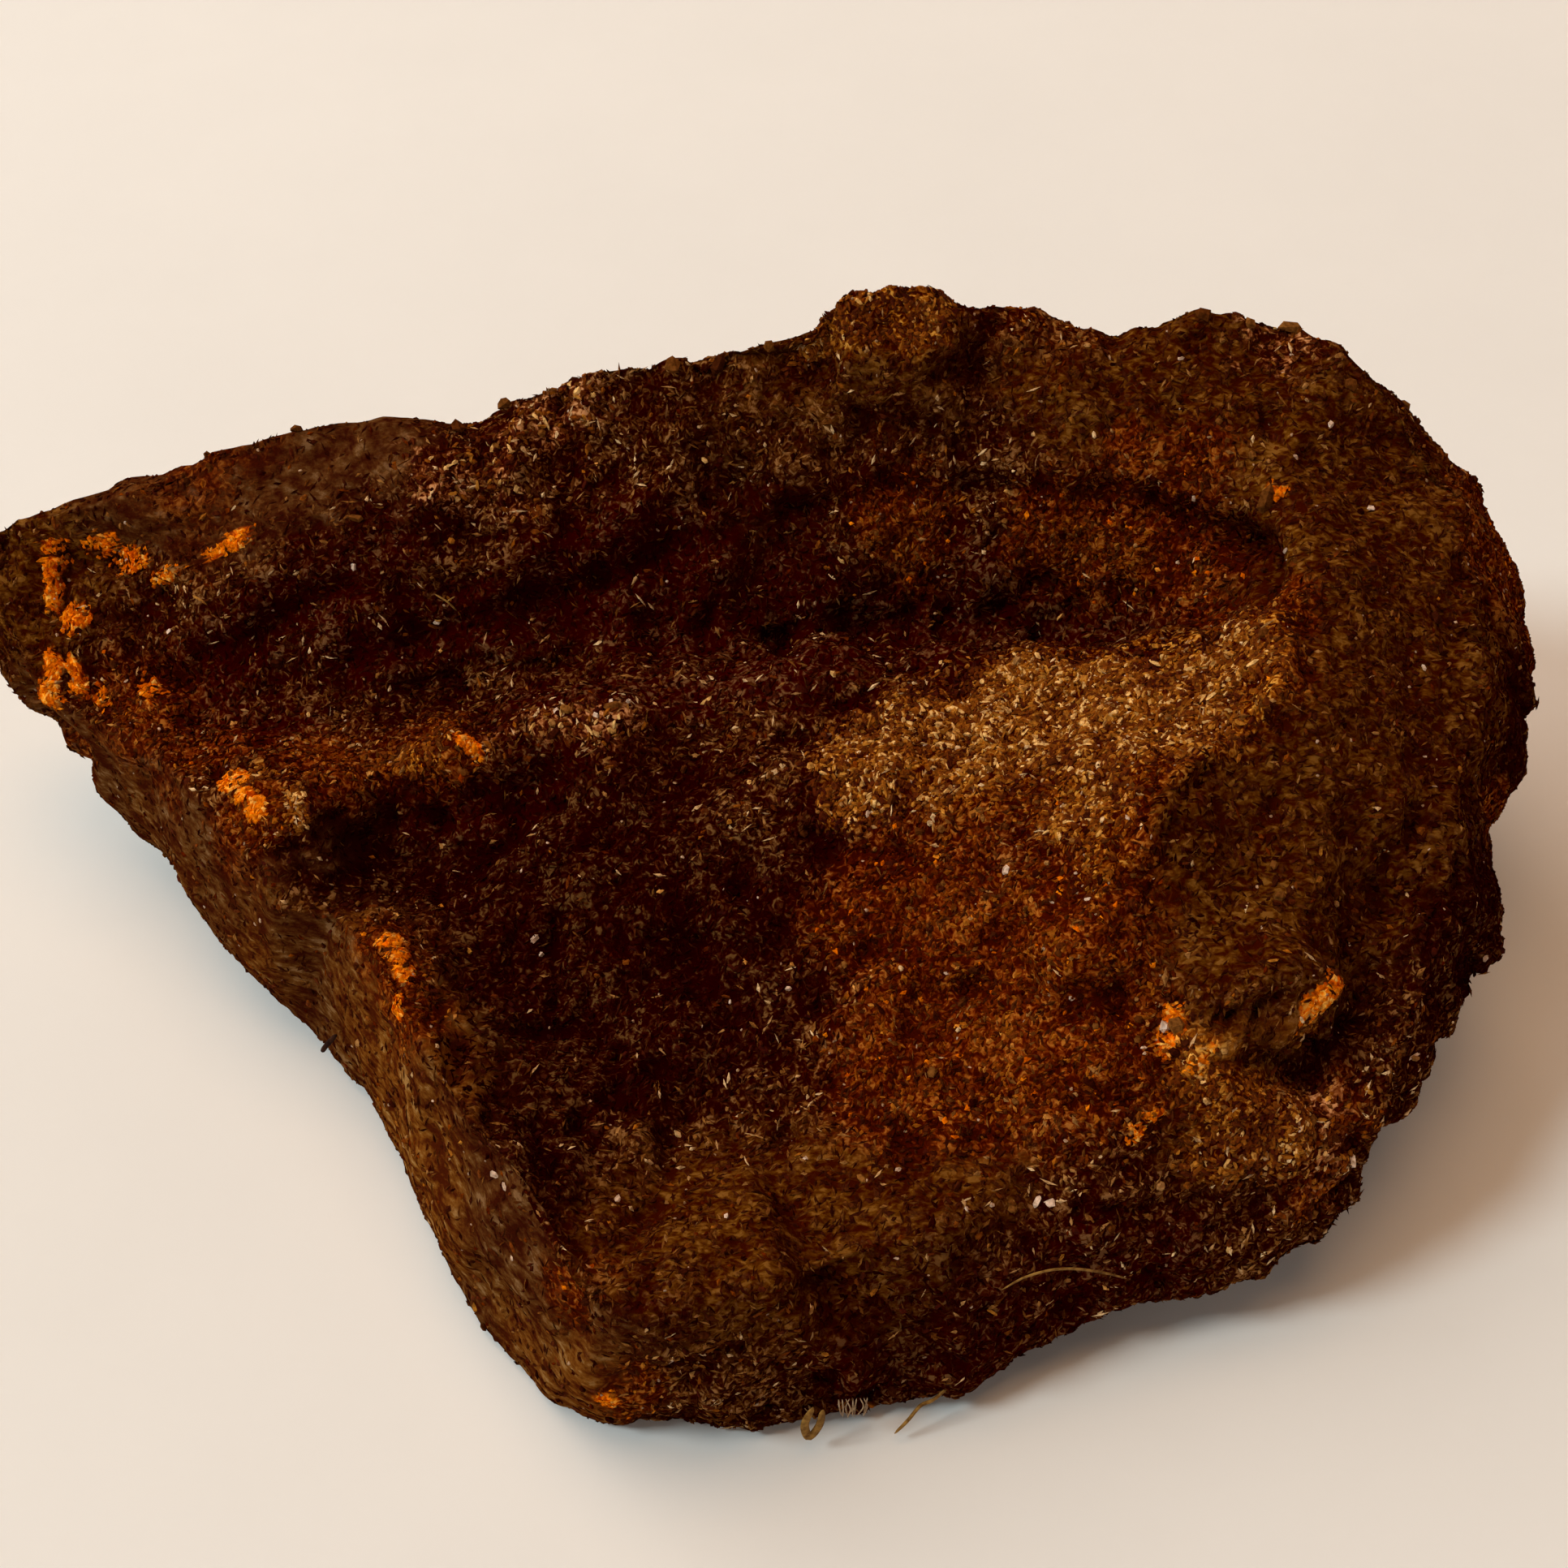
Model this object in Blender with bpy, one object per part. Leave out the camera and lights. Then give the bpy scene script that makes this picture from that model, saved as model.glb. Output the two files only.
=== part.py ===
"""Iron ore rock: a rough hand specimen of brown and rusty iron ore, lying on its broken base.

The stone is one solid. It starts as a cube cut into small cells. The cube's bearings and heights are
carried onto three level outlines (the upper rim, the belly that stands out furthest and the foot), and
its top face becomes a relief through named spot heights. Lumps and flat chips are then raised on it.

X runs to the stone's right, Y to its back and Z up. The origin is at the middle of the base, on the
plane that the stone rests on. Sizes are in millimetres until the mesh is written.
"""

import itertools
import math

import bmesh
import bpy
import numpy as np

MM = 0.001
NAME = "iron_ore_rock"

# ---- Driving dimensions -------------------------------------------------------------------------

WIDTH_CELLS = 48
DEPTH_CELLS = 32
HEIGHT_CELLS = 18

# The hub is the plan point that all bearings are taken from. Bearings are taken on an ellipse of
# these half sizes, so that the cells stay even on a stone that is wider than it is deep.
HUB = np.array((3.0, -3.0))
HALF_WIDTH = 52.0
HALF_DEPTH = 32.0

# Upper rim, anticlockwise from the right, as (x, y, z).
RIM = (
    (47.0, 2.0, 25.0), (47.0, 9.0, 27.5), (47.0, 16.0, 30.0), (43.5, 19.5, 33.0), (41.0, 22.0, 35.0),
    # the jagged crest along the back, highest at its middle peak
    (36.0, 24.5, 37.0), (29.0, 25.0, 38.0), (23.5, 24.5, 35.5), (19.5, 24.8, 35.7), (16.0, 25.0, 37.8),
    (12.0, 23.5, 39.5), (7.5, 23.5, 41.5), (3.0, 23.5, 39.6), (0.5, 23.3, 38.0), (-6.0, 22.5, 36.0),
    (-13.0, 22.5, 35.0), (-18.5, 22.0, 32.9), (-23.5, 20.5, 30.8), (-31.5, 21.0, 31.2),
    (-36.5, 20.5, 30.3), (-40.5, 19.8, 29.2), (-44.5, 19.0, 26.8),
    # the nose that sticks out on the left
    (-54.5, 17.5, 25.3), (-57.0, 17.0, 24.7), (-56.5, 12.5, 20.5), (-53.0, 8.0, 17.0),
    # the edge over the steep left face, with two bumps
    (-48.5, 6.0, 16.0), (-44.5, 3.5, 16.5), (-40.0, -2.5, 18.0), (-36.5, -7.0, 17.0),
    (-34.5, -9.5, 15.0), (-30.0, -10.0, 15.0), (-26.5, -15.0, 17.2), (-22.0, -23.0, 16.5),
    (-19.5, -27.0, 17.0), (-16.0, -31.0, 17.0), (-13.5, -35.5, 16.5), (-11.5, -38.5, 16.0),
    # the low front shelf
    (-8.0, -39.0, 15.0), (-4.0, -38.0, 14.5), (4.0, -35.0, 14.5), (11.5, -32.5, 14.0),
    (18.0, -32.0, 12.5), (24.5, -31.5, 10.5), (30.5, -31.0, 10.0), (34.5, -29.5, 10.5),
    # the right front, rising towards the back
    (37.0, -26.5, 13.5), (39.5, -21.0, 17.5), (42.0, -16.5, 19.5), (43.0, -11.5, 21.5),
    (44.0, -6.0, 23.0),
)

# Belly, the line where the sides stand out furthest, anticlockwise from the right.
BELLY = (
    (52.2, 2.5, 15.5), (53.2, 8.5, 17.0), (53.5, 12.0, 19.0), (52.8, 16.5, 22.5), (51.0, 21.0, 26.0),
    (46.5, 24.0, 27.0), (38.0, 29.0, 21.0), (26.0, 30.5, 18.0), (12.0, 31.0, 18.0), (-2.0, 30.0, 17.0),
    (-16.0, 28.5, 16.0), (-30.0, 26.5, 15.0), (-42.0, 24.0, 14.0), (-50.0, 21.0, 14.0),
    # under the nose
    (-57.5, 18.0, 18.0), (-58.0, 15.0, 15.3), (-55.9, 11.7, 12.0), (-51.9, 10.2, 8.8),
    # the left face comes down almost upright
    (-50.0, 6.5, 6.0), (-47.0, 4.0, 5.0), (-44.5, 1.0, 4.0), (-41.5, -3.5, 3.0), (-38.5, -7.0, 2.5),
    (-33.8, -10.7, 2.0), (-29.5, -15.7, 1.0), (-26.5, -20.2, 1.0), (-24.1, -25.3, 1.0),
    (-21.6, -29.8, 1.0), (-19.3, -33.3, 0.7), (-15.0, -38.0, 0.7), (-11.5, -39.5, 0.7),
    # the front face
    (-3.5, -40.0, 0.7), (4.5, -39.2, 1.0), (9.5, -38.0, 1.8), (14.0, -36.5, 2.8), (18.5, -34.8, 3.6),
    (25.0, -31.7, 4.8), (30.5, -31.0, 5.2), (35.0, -30.3, 6.0),
    # the undercut right front, with a notch
    (37.6, -27.8, 7.5), (38.3, -25.2, 9.0), (41.3, -21.8, 10.3), (43.8, -18.5, 11.0), (46.9, -14.0, 11.5),
    (48.6, -11.5, 12.0), (48.9, -8.0, 13.0), (48.5, -3.0, 14.5),
)

# Foot, the outline of the flat resting face, anticlockwise from the right, as (x, y).
FOOT = (
    (40.0, 4.0), (41.0, 13.0), (38.0, 20.5), (28.0, 25.5), (12.0, 27.0), (-6.0, 26.5), (-22.0, 24.5),
    (-36.0, 20.0), (-45.0, 13.5), (-45.5, 6.0), (-42.0, 1.0), (-37.0, -5.5), (-31.0, -11.5),
    (-25.5, -20.0), (-21.5, -29.0), (-17.5, -34.5), (-11.5, -38.5), (-3.5, -39.0), (4.0, -37.0),
    (12.0, -31.5), (19.0, -27.0), (26.0, -22.0), (32.0, -16.0), (36.0, -9.0), (39.0, -2.0),
)

# Spot heights of the upper relief inside the rim, as (x, y, z).
UPPER_SLOPE = (
    (-47.5, 14.0, 22.5), (-38.0, 16.0, 27.0), (-38.5, 11.8, 22.9), (-31.0, 17.0, 29.0),
    (-12.5, 19.5, 31.5), (-12.5, 16.0, 27.5), (-3.5, 20.0, 33.0), (-3.5, 17.0, 29.5), (4.5, 20.5, 37.0),
    (4.5, 18.0, 32.0), (12.0, 20.5, 35.5), (12.0, 18.5, 32.0), (19.0, 20.5, 35.0), (19.0, 18.0, 32.5),
    (29.0, 20.5, 35.0), (30.0, 16.0, 33.5), (37.0, 19.0, 34.5),
)
LEDGE_TOP = ((-30.0, 13.5, 26.5), (-24.5, 15.5, 29.0), (-19.5, 17.0, 30.5))
LEDGE_FOOT = ((-27.0, 12.0, 23.5), (-21.5, 14.5, 26.0), (-17.0, 16.0, 28.0))
CREASE = (
    (-43.0, 9.5, 19.0), (-37.0, 9.5, 20.0), (-32.5, 9.5, 20.5), (-27.0, 10.2, 21.3), (-21.0, 11.5, 22.8),
    (-15.5, 12.7, 23.8), (-9.5, 14.0, 25.2), (-5.5, 14.5, 26.5), (-0.5, 15.2, 27.6), (5.0, 15.8, 28.6),
    (12.0, 16.2, 29.3), (19.0, 15.5, 30.0), (24.5, 15.0, 30.5), (28.0, 14.0, 31.0), (31.5, 12.0, 31.5),
    (33.5, 9.0, 31.5), (34.0, 5.5, 31.5),
)
CHANNEL_BED = (
    (-41.5, 6.5, 16.8), (-33.0, 7.2, 17.5), (-26.5, 8.7, 18.9), (-21.0, 10.0, 20.2), (-15.5, 11.2, 20.4),
    (-8.5, 12.2, 20.7), (-1.0, 12.6, 20.3), (5.0, 12.8, 20.2), (12.5, 12.3, 20.5), (19.0, 11.8, 21.0),
    (25.0, 10.5, 22.3), (28.0, 10.0, 24.8), (30.0, 9.0, 26.6), (31.8, 7.0, 28.6),
)
NEAR_BANK = (
    (-12.0, 7.5, 20.9), (-6.5, 7.5, 21.3), (-1.0, 7.8, 21.9), (4.5, 7.8, 22.5), (12.0, 7.3, 23.3),
    (18.5, 6.3, 24.4), (24.0, 5.0, 26.0), (27.0, 5.0, 27.2), (29.5, 4.5, 28.4),
    (-4.0, 3.0, 21.9), (4.5, 3.0, 22.9), (12.0, 2.0, 24.1), (18.5, 1.0, 25.4), (24.5, 0.5, 27.0),
    (29.0, 0.0, 28.9), (4.5, -1.5, 23.2), (11.5, -2.8, 24.4), (17.5, -3.5, 26.0), (24.0, -4.5, 27.6),
    (29.0, -4.0, 29.2), (2.0, -5.5, 22.1), (9.5, -7.5, 23.3), (17.5, -8.5, 25.3),
)
PLATE_RIDGE = (
    (32.5, 2.0, 31.5), (31.5, -3.5, 30.8), (26.5, -8.0, 29.5), (23.5, -11.0, 28.0),
    (21.5, -14.0, 26.0), (19.5, -17.5, 24.0),
)
PLATE = (
    (40.0, 14.0, 32.0), (37.0, 8.0, 31.8), (36.0, -1.0, 30.0), (41.5, 3.5, 28.5), (35.5, -6.5, 27.5),
    (40.5, -5.0, 26.0), (29.0, -10.5, 26.2), (33.5, -12.0, 24.5), (39.5, -9.0, 24.0),
    (26.0, -15.0, 23.8), (31.0, -17.5, 22.5), (23.5, -19.0, 22.0),
)
CREVICE = ((39.5, -12.0, 20.0), (36.5, -17.0, 18.5), (41.0, -14.5, 21.5))
LIP = ((26.8, -22.5, 20.6), (30.0, -22.1, 20.8), (33.6, -20.5, 21.2))
HOLLOW = ((29.6, -23.6, 17.3), (32.5, -22.8, 16.6), (36.5, -21.8, 17.0))
LUMP = (
    (23.0, -23.0, 19.5), (26.5, -23.9, 18.9), (21.5, -27.0, 17.0), (27.5, -26.2, 18.0), (31.0, -26.2, 16.4),
)
SCARP_CREST = (
    (-36.5, -4.0, 19.3), (-33.8, -6.8, 18.2), (-31.8, -5.3, 18.4), (-30.0, -3.2, 19.0), (-23.3, -0.5, 20.0),
    (-17.0, 1.5, 21.3), (-11.0, 2.0, 22.0),
)
SCARP_FOOT = ((-29.3, -5.2, 15.6), (-24.0, -2.8, 16.0), (-17.0, -0.9, 18.0), (-10.5, -0.8, 20.4))
BOWL = (
    (-31.5, -9.5, 15.2), (-14.5, -5.0, 17.5), (-22.0, -10.0, 15.0), (-6.5, -5.5, 19.5),
    (-11.5, -13.0, 15.0), (-1.0, -11.5, 18.0), (9.5, -12.5, 20.5), (-18.0, -20.0, 14.0),
    (-7.5, -22.0, 13.5), (3.5, -20.5, 15.5), (13.5, -18.0, 19.0),
)
SHELF = (
    (16.5, -24.5, 16.5), (8.5, -27.0, 14.8), (-3.5, -29.5, 13.8), (-12.5, -29.0, 14.2),
    (-22.5, -17.0, 15.5),
)
FRONT_SLOPE = (
    (18.0, -29.5, 14.5), (24.0, -29.2, 13.5), (30.0, -28.8, 13.0), (34.0, -26.8, 14.1), (34.6, -24.5, 15.4),
)
SPOT_GROUPS = (
    UPPER_SLOPE, LEDGE_TOP, LEDGE_FOOT, CREASE, CHANNEL_BED, NEAR_BANK, PLATE_RIDGE, PLATE, CREVICE, LIP,
    HOLLOW, LUMP, SCARP_CREST, SCARP_FOOT, BOWL, SHELF, FRONT_SLOPE,
)
RELIEF_ROUNDING = 2.0     # how softly the relief turns over a spot height
RIM_PULL = 8              # power of the distance from the hub with which the relief closes on the rim
SIDE_BULGE = 0.05         # how far a side swells between two outlines, as a share of its length

# Lumps are smooth random swells, as (size, height, seed).
LUMPS = ((15.0, 0.5, 11), (6.5, 0.6, 12), (3.6, 0.35, 13))
CHIP_SIZE = 8.0
CHIP_TILT = 0.17
CHIP_EDGE = 0.5           # width over which one chip turns into the next
CHIP_SEED = 21
QUIET_BASE = 3.0          # height over which the lumps fade in above the resting face
LOWEST_SIDE = 0.05        # least height of a side's corner, so that only the base reaches Z = 0

# Faces that broke or wore smoother than the rest, as (x, y, z), radius and the share of the lumps lost.
SMOOTH_FACES = (
    ((36.0, -4.0, 28.0), 15.0, 0.55),
    ((-33.0, -14.0, 9.0), 16.0, 0.5),
    ((-22.0, -30.0, 9.0), 14.0, 0.4),
    ((-36.0, 22.0, 28.0), 12.0, 0.5),
)

LATTICE_VALUES = 4096
LATTICE_STEPS = np.array((73856093, 19349663, 83492791))

BASE_COLOUR = (0.045, 0.024, 0.010, 1.0)
ROUGHNESS = 0.88


# ---- Form ---------------------------------------------------------------------------------------

def read_outline(stations, angles):
    """Return an outline's points at the given bearings, straight from each station to the next.

    A bearing is the angle of an offset from the hub, anticlockwise from +X, on the bearing ellipse.
    """
    stations = np.array(stations)
    offset = (stations[:, :2] - HUB) / (HALF_WIDTH, HALF_DEPTH)
    known = np.arctan2(offset[:, 1], offset[:, 0])
    columns = [np.interp(angles, known, values, period=2.0 * math.pi) for values in stations.T]
    return np.stack(columns, axis=1)


def pairwise_swell(points, centres):
    """Return the multiquadric of each plan distance, the kernel that the relief is made of."""
    gap = points[:, None, :] - centres[None, :, :]
    return np.sqrt((gap ** 2).sum(axis=2) + RELIEF_ROUNDING ** 2)


def relief_through(spots):
    """Return a function of plan points that gives the height of a surface through the spots."""
    centres = spots[:, :2]
    weights = np.linalg.solve(pairwise_swell(centres, centres), spots[:, 2])
    return lambda plan: pairwise_swell(plan, centres) @ weights


def shape_top(angles, reach):
    """Return points of the upper relief at the given bearings and shares of the way to the rim."""
    spots = np.array(RIM + tuple(itertools.chain.from_iterable(SPOT_GROUPS)))
    height_at = relief_through(spots)
    rim = read_outline(RIM, angles)
    plan = HUB + reach[:, None] * (rim[:, :2] - HUB)
    miss = rim[:, 2] - height_at(rim[:, :2])
    height = height_at(plan) + miss * reach ** RIM_PULL
    return np.column_stack((plan, height))


def shape_base(angles, reach):
    """Return points of the flat resting face."""
    foot = read_outline(FOOT, angles)
    plan = HUB + reach[:, None] * (foot - HUB)
    return np.column_stack((plan, np.zeros(len(angles))))


def shape_side(angles, climb):
    """Return points of the sides: from the foot over the belly to the rim as climb goes 0 to 1."""
    foot = shape_base(angles, np.ones(len(angles)))
    belly = read_outline(BELLY, angles)
    rim = read_outline(RIM, angles)
    lower = np.linalg.norm(belly - foot, axis=1)
    upper = np.linalg.norm(rim - belly, axis=1)
    travelled = climb * (lower + upper)
    low_share = np.clip(travelled / lower, 0.0, 1.0)
    high_share = np.clip((travelled - lower) / upper, 0.0, 1.0)
    points = foot + low_share[:, None] * (belly - foot) + high_share[:, None] * (rim - belly)
    swell = SIDE_BULGE * (upper * np.sin(math.pi * high_share) + lower * np.sin(math.pi * low_share))
    outward = (belly[:, :2] - HUB) / np.linalg.norm(belly[:, :2] - HUB, axis=1)[:, None]
    points[:, :2] += swell[:, None] * outward
    return points


def carry_onto_stone(cube):
    """Carry points of a cube that spans -1 to 1 onto the stone's main form."""
    across, along, up = cube.T
    round_across = across * np.sqrt(1.0 - along ** 2 / 2.0)
    round_along = along * np.sqrt(1.0 - across ** 2 / 2.0)
    angles = np.arctan2(round_along, round_across)
    reach = np.hypot(round_across, round_along)
    points = shape_side(angles, (up + 1.0) / 2.0)
    on_top = up > 1.0 - 1e-5
    on_base = up < -1.0 + 1e-5
    points[on_top] = shape_top(angles[on_top], reach[on_top])
    points[on_base] = shape_base(angles[on_base], reach[on_base])
    return points


# ---- Lumps and chips ----------------------------------------------------------------------------

def lattice_index(corners):
    """Return the place of each lattice corner in a table of random values."""
    mixed = corners * LATTICE_STEPS
    return (mixed[..., 0] ^ mixed[..., 1] ^ mixed[..., 2]) % LATTICE_VALUES


def lump_height(points, size, seed):
    """Return smooth random swells between -1 and 1 with the given size."""
    values = np.random.default_rng(seed).uniform(-1.0, 1.0, LATTICE_VALUES)
    corner = np.floor(points / size).astype(np.int64)
    part = points / size - corner
    part = part * part * (3.0 - 2.0 * part)
    height = np.zeros(len(points))
    for step in itertools.product((0, 1), repeat=3):
        weight = np.where(step, part, 1.0 - part).prod(axis=1)
        height += weight * values[lattice_index(corner + step)]
    return height


def chip_height(points):
    """Return the height of flat chips: each point lies on the tilted plane of its nearest centre."""
    random = np.random.default_rng(CHIP_SEED)
    shift = random.uniform(0.0, 1.0, (LATTICE_VALUES, 3))
    tilt = random.uniform(-CHIP_TILT, CHIP_TILT, (LATTICE_VALUES, 3))
    corner = np.floor(points / CHIP_SIZE).astype(np.int64)
    distances = []
    planes = []
    for step in itertools.product((-1, 0, 1), repeat=3):
        index = lattice_index(corner + step)
        gap = points - (corner + step + shift[index]) * CHIP_SIZE
        distances.append(np.linalg.norm(gap, axis=1))
        planes.append((gap * tilt[index]).sum(axis=1))
    distances = np.array(distances)
    hold = np.exp((distances.min(axis=0) - distances) / CHIP_EDGE)
    return (hold * planes).sum(axis=0) / hold.sum(axis=0)


def liveliness(points):
    """Return how much of the lumps each point gets: less on smooth faces and next to the base."""
    share = np.clip(points[:, 2] / QUIET_BASE, 0.0, 1.0)
    for middle, radius, loss in SMOOTH_FACES:
        distance = np.linalg.norm(points - middle, axis=1)
        share *= 1.0 - loss * np.exp(-(distance / radius) ** 2)
    return share


def raise_lumps(points, normals):
    """Return the points moved along their normals by the lumps and chips."""
    height = chip_height(points)
    for size, top, seed in LUMPS:
        height += top * lump_height(points, size, seed)
    moved = points + normals * (height * liveliness(points))[:, None]
    moved[:, 2] = np.where(points[:, 2] > 0.0, np.maximum(moved[:, 2], LOWEST_SIDE), 0.0)
    return moved


def middle_of_plan(points):
    """Return the middle of the points' box, brought down to the resting face."""
    low = points.min(axis=0)
    high = points.max(axis=0)
    return np.array(((low[0] + high[0]) / 2.0, (low[1] + high[1]) / 2.0, 0.0))


# ---- Blender objects ----------------------------------------------------------------------------

def clear_scene():
    """Remove the objects that a new file starts with."""
    for old in list(bpy.data.objects):
        bpy.data.objects.remove(old, do_unlink=True)


def cut_along(body, axis, cells):
    """Cut every edge that runs along one axis into the given number of cells."""
    edges = [edge for edge in body.edges if abs((edge.verts[0].co - edge.verts[1].co)[axis]) > 1e-4]
    bmesh.ops.subdivide_edges(body, edges=edges, cuts=cells - 1, use_grid_fill=True)


def make_cut_cube(name):
    """Return a mesh of a cube that spans -1 to 1, cut into the stone's cells."""
    body = bmesh.new()
    bmesh.ops.create_cube(body, size=2.0)
    for axis, cells in enumerate((WIDTH_CELLS, DEPTH_CELLS, HEIGHT_CELLS)):
        cut_along(body, axis, cells)
    mesh = bpy.data.meshes.new(name)
    body.to_mesh(mesh)
    body.free()
    return mesh


def read_vertices(mesh, field):
    """Return one three-number field of all the mesh's vertices."""
    flat = np.empty(len(mesh.vertices) * 3)
    mesh.vertices.foreach_get(field, flat)
    return flat.reshape(-1, 3)


def write_vertices(mesh, points):
    """Move the mesh's vertices to the given points."""
    mesh.vertices.foreach_set("co", points.ravel())
    mesh.update()


def make_ore():
    """Return the stone's material: dull dark brown iron ore."""
    ore = bpy.data.materials.new("brown_iron_ore")
    ore.use_nodes = True
    shader = ore.node_tree.nodes["Principled BSDF"]
    shader.inputs["Base Color"].default_value = BASE_COLOUR
    shader.inputs["Roughness"].default_value = ROUGHNESS
    shader.inputs["Metallic"].default_value = 0.0
    return ore


def make_rock():
    """Make the stone, with its resting face on the plane Z = 0 and the middle of its plan at X = Y = 0."""
    mesh = make_cut_cube(NAME)
    write_vertices(mesh, carry_onto_stone(read_vertices(mesh, "co")))
    lumpy = raise_lumps(read_vertices(mesh, "co"), read_vertices(mesh, "normal"))
    write_vertices(mesh, (lumpy - middle_of_plan(lumpy)) * MM)
    mesh.materials.append(make_ore())
    return bpy.data.objects.new(NAME, mesh)


def main():
    """Build the stone in a collection named for it."""
    clear_scene()
    collection = bpy.data.collections.new("iron_ore_rock_specimen")
    bpy.context.scene.collection.children.link(collection)
    collection.objects.link(make_rock())


main()
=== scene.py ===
"""Looks of the iron ore rock: its broken skin, the grains, crusts and chips on it, and its dry plant bits.

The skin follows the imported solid: the same three level outlines, the same upper relief and the same
lumps and chips, on a finer grid. Pits, ridges, beds, cracks and granules are then raised on it, and
grains of several kinds are strewn over it as thickly as each face of the stone carries them.

Sizes are in millimetres from the stone's hub until a mesh is written. X runs to the stone's right, Y to
its back and Z up.
"""

import itertools
import math

import bpy
import numpy as np
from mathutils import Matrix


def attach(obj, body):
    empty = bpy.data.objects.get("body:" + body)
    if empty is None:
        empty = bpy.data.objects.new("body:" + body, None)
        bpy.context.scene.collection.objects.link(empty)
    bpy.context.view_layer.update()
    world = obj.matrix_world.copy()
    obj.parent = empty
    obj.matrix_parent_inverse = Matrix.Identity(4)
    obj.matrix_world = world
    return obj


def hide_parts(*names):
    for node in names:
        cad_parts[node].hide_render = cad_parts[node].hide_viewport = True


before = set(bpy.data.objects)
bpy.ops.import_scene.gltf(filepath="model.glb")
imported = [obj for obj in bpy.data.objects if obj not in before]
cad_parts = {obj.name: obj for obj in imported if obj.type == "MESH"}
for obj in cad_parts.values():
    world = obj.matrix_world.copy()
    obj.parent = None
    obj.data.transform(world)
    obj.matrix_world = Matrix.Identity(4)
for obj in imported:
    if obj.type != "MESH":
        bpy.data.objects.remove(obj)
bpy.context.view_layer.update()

MM = 0.001
BODY = "root"
NODE = "iron_ore_rock"
PLAN_MIDDLE = np.array((-2.247, -4.427, 0.0))   # the frame's origin, seen from the hub's zero

# ---- Main form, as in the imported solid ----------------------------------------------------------

HUB = np.array((3.0, -3.0))
HALF_WIDTH = 52.0
HALF_DEPTH = 32.0

# Upper rim, anticlockwise from the right, as (x, y, z).
RIM = (
    (47.0, 2.0, 25.0), (47.0, 9.0, 27.5), (47.0, 16.0, 30.0), (43.5, 19.5, 33.0), (41.0, 22.0, 35.0),
    (36.0, 24.5, 37.0), (29.0, 25.0, 38.0), (23.5, 24.5, 35.5), (19.5, 24.8, 35.7), (16.0, 25.0, 37.8),
    (12.0, 23.5, 39.5), (7.5, 23.5, 41.5), (3.0, 23.5, 39.6), (0.5, 23.3, 38.0), (-6.0, 22.5, 36.0),
    (-13.0, 22.5, 35.0), (-18.5, 22.0, 32.9), (-23.5, 20.5, 30.8), (-31.5, 21.0, 31.2),
    (-36.5, 20.5, 30.3), (-40.5, 19.8, 29.2), (-44.5, 19.0, 26.8),
    (-54.5, 17.5, 25.3), (-57.0, 17.0, 24.7), (-56.5, 12.5, 20.5), (-53.0, 8.0, 17.0),
    (-48.5, 6.0, 16.0), (-44.5, 3.5, 16.5), (-40.0, -2.5, 18.0), (-36.5, -7.0, 17.0),
    (-34.5, -9.5, 15.0), (-30.0, -10.0, 15.0), (-26.5, -15.0, 17.2), (-22.0, -23.0, 16.5),
    (-19.5, -27.0, 17.0), (-16.0, -31.0, 17.0), (-13.5, -35.5, 16.5), (-11.5, -38.5, 16.0),
    (-8.0, -39.0, 15.0), (-4.0, -38.0, 14.5), (4.0, -35.0, 14.5), (11.5, -32.5, 14.0),
    (18.0, -32.0, 12.5), (24.5, -31.5, 10.5), (30.5, -31.0, 10.0), (34.5, -29.5, 10.5),
    (37.0, -26.5, 13.5), (39.5, -21.0, 17.5), (42.0, -16.5, 19.5), (43.0, -11.5, 21.5),
    (44.0, -6.0, 23.0),
)

# Belly, the line where the sides stand out furthest, anticlockwise from the right.
BELLY = (
    (52.2, 2.5, 15.5), (53.2, 8.5, 17.0), (53.5, 12.0, 19.0), (52.8, 16.5, 22.5), (51.0, 21.0, 26.0),
    (46.5, 24.0, 27.0), (38.0, 29.0, 21.0), (26.0, 30.5, 18.0), (12.0, 31.0, 18.0), (-2.0, 30.0, 17.0),
    (-16.0, 28.5, 16.0), (-30.0, 26.5, 15.0), (-42.0, 24.0, 14.0), (-50.0, 21.0, 14.0),
    (-57.5, 18.0, 18.0), (-58.0, 15.0, 15.3), (-55.9, 11.7, 12.0), (-51.9, 10.2, 8.8),
    (-50.0, 6.5, 6.0), (-47.0, 4.0, 5.0), (-44.5, 1.0, 4.0), (-41.5, -3.5, 3.0), (-38.5, -7.0, 2.5),
    (-33.8, -10.7, 2.0), (-29.5, -15.7, 1.0), (-26.5, -20.2, 1.0), (-24.1, -25.3, 1.0),
    (-21.6, -29.8, 1.0), (-19.3, -33.3, 0.7), (-15.0, -38.0, 0.7), (-11.5, -39.5, 0.7),
    (-3.5, -40.0, 0.7), (4.5, -39.2, 1.0), (9.5, -38.0, 1.8), (14.0, -36.5, 2.8), (18.5, -34.8, 3.6),
    (25.0, -31.7, 4.8), (30.5, -31.0, 5.2), (35.0, -30.3, 6.0),
    (37.6, -27.8, 7.5), (38.3, -25.2, 9.0), (41.3, -21.8, 10.3), (43.8, -18.5, 11.0), (46.9, -14.0, 11.5),
    (48.6, -11.5, 12.0), (48.9, -8.0, 13.0), (48.5, -3.0, 14.5),
)

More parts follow.
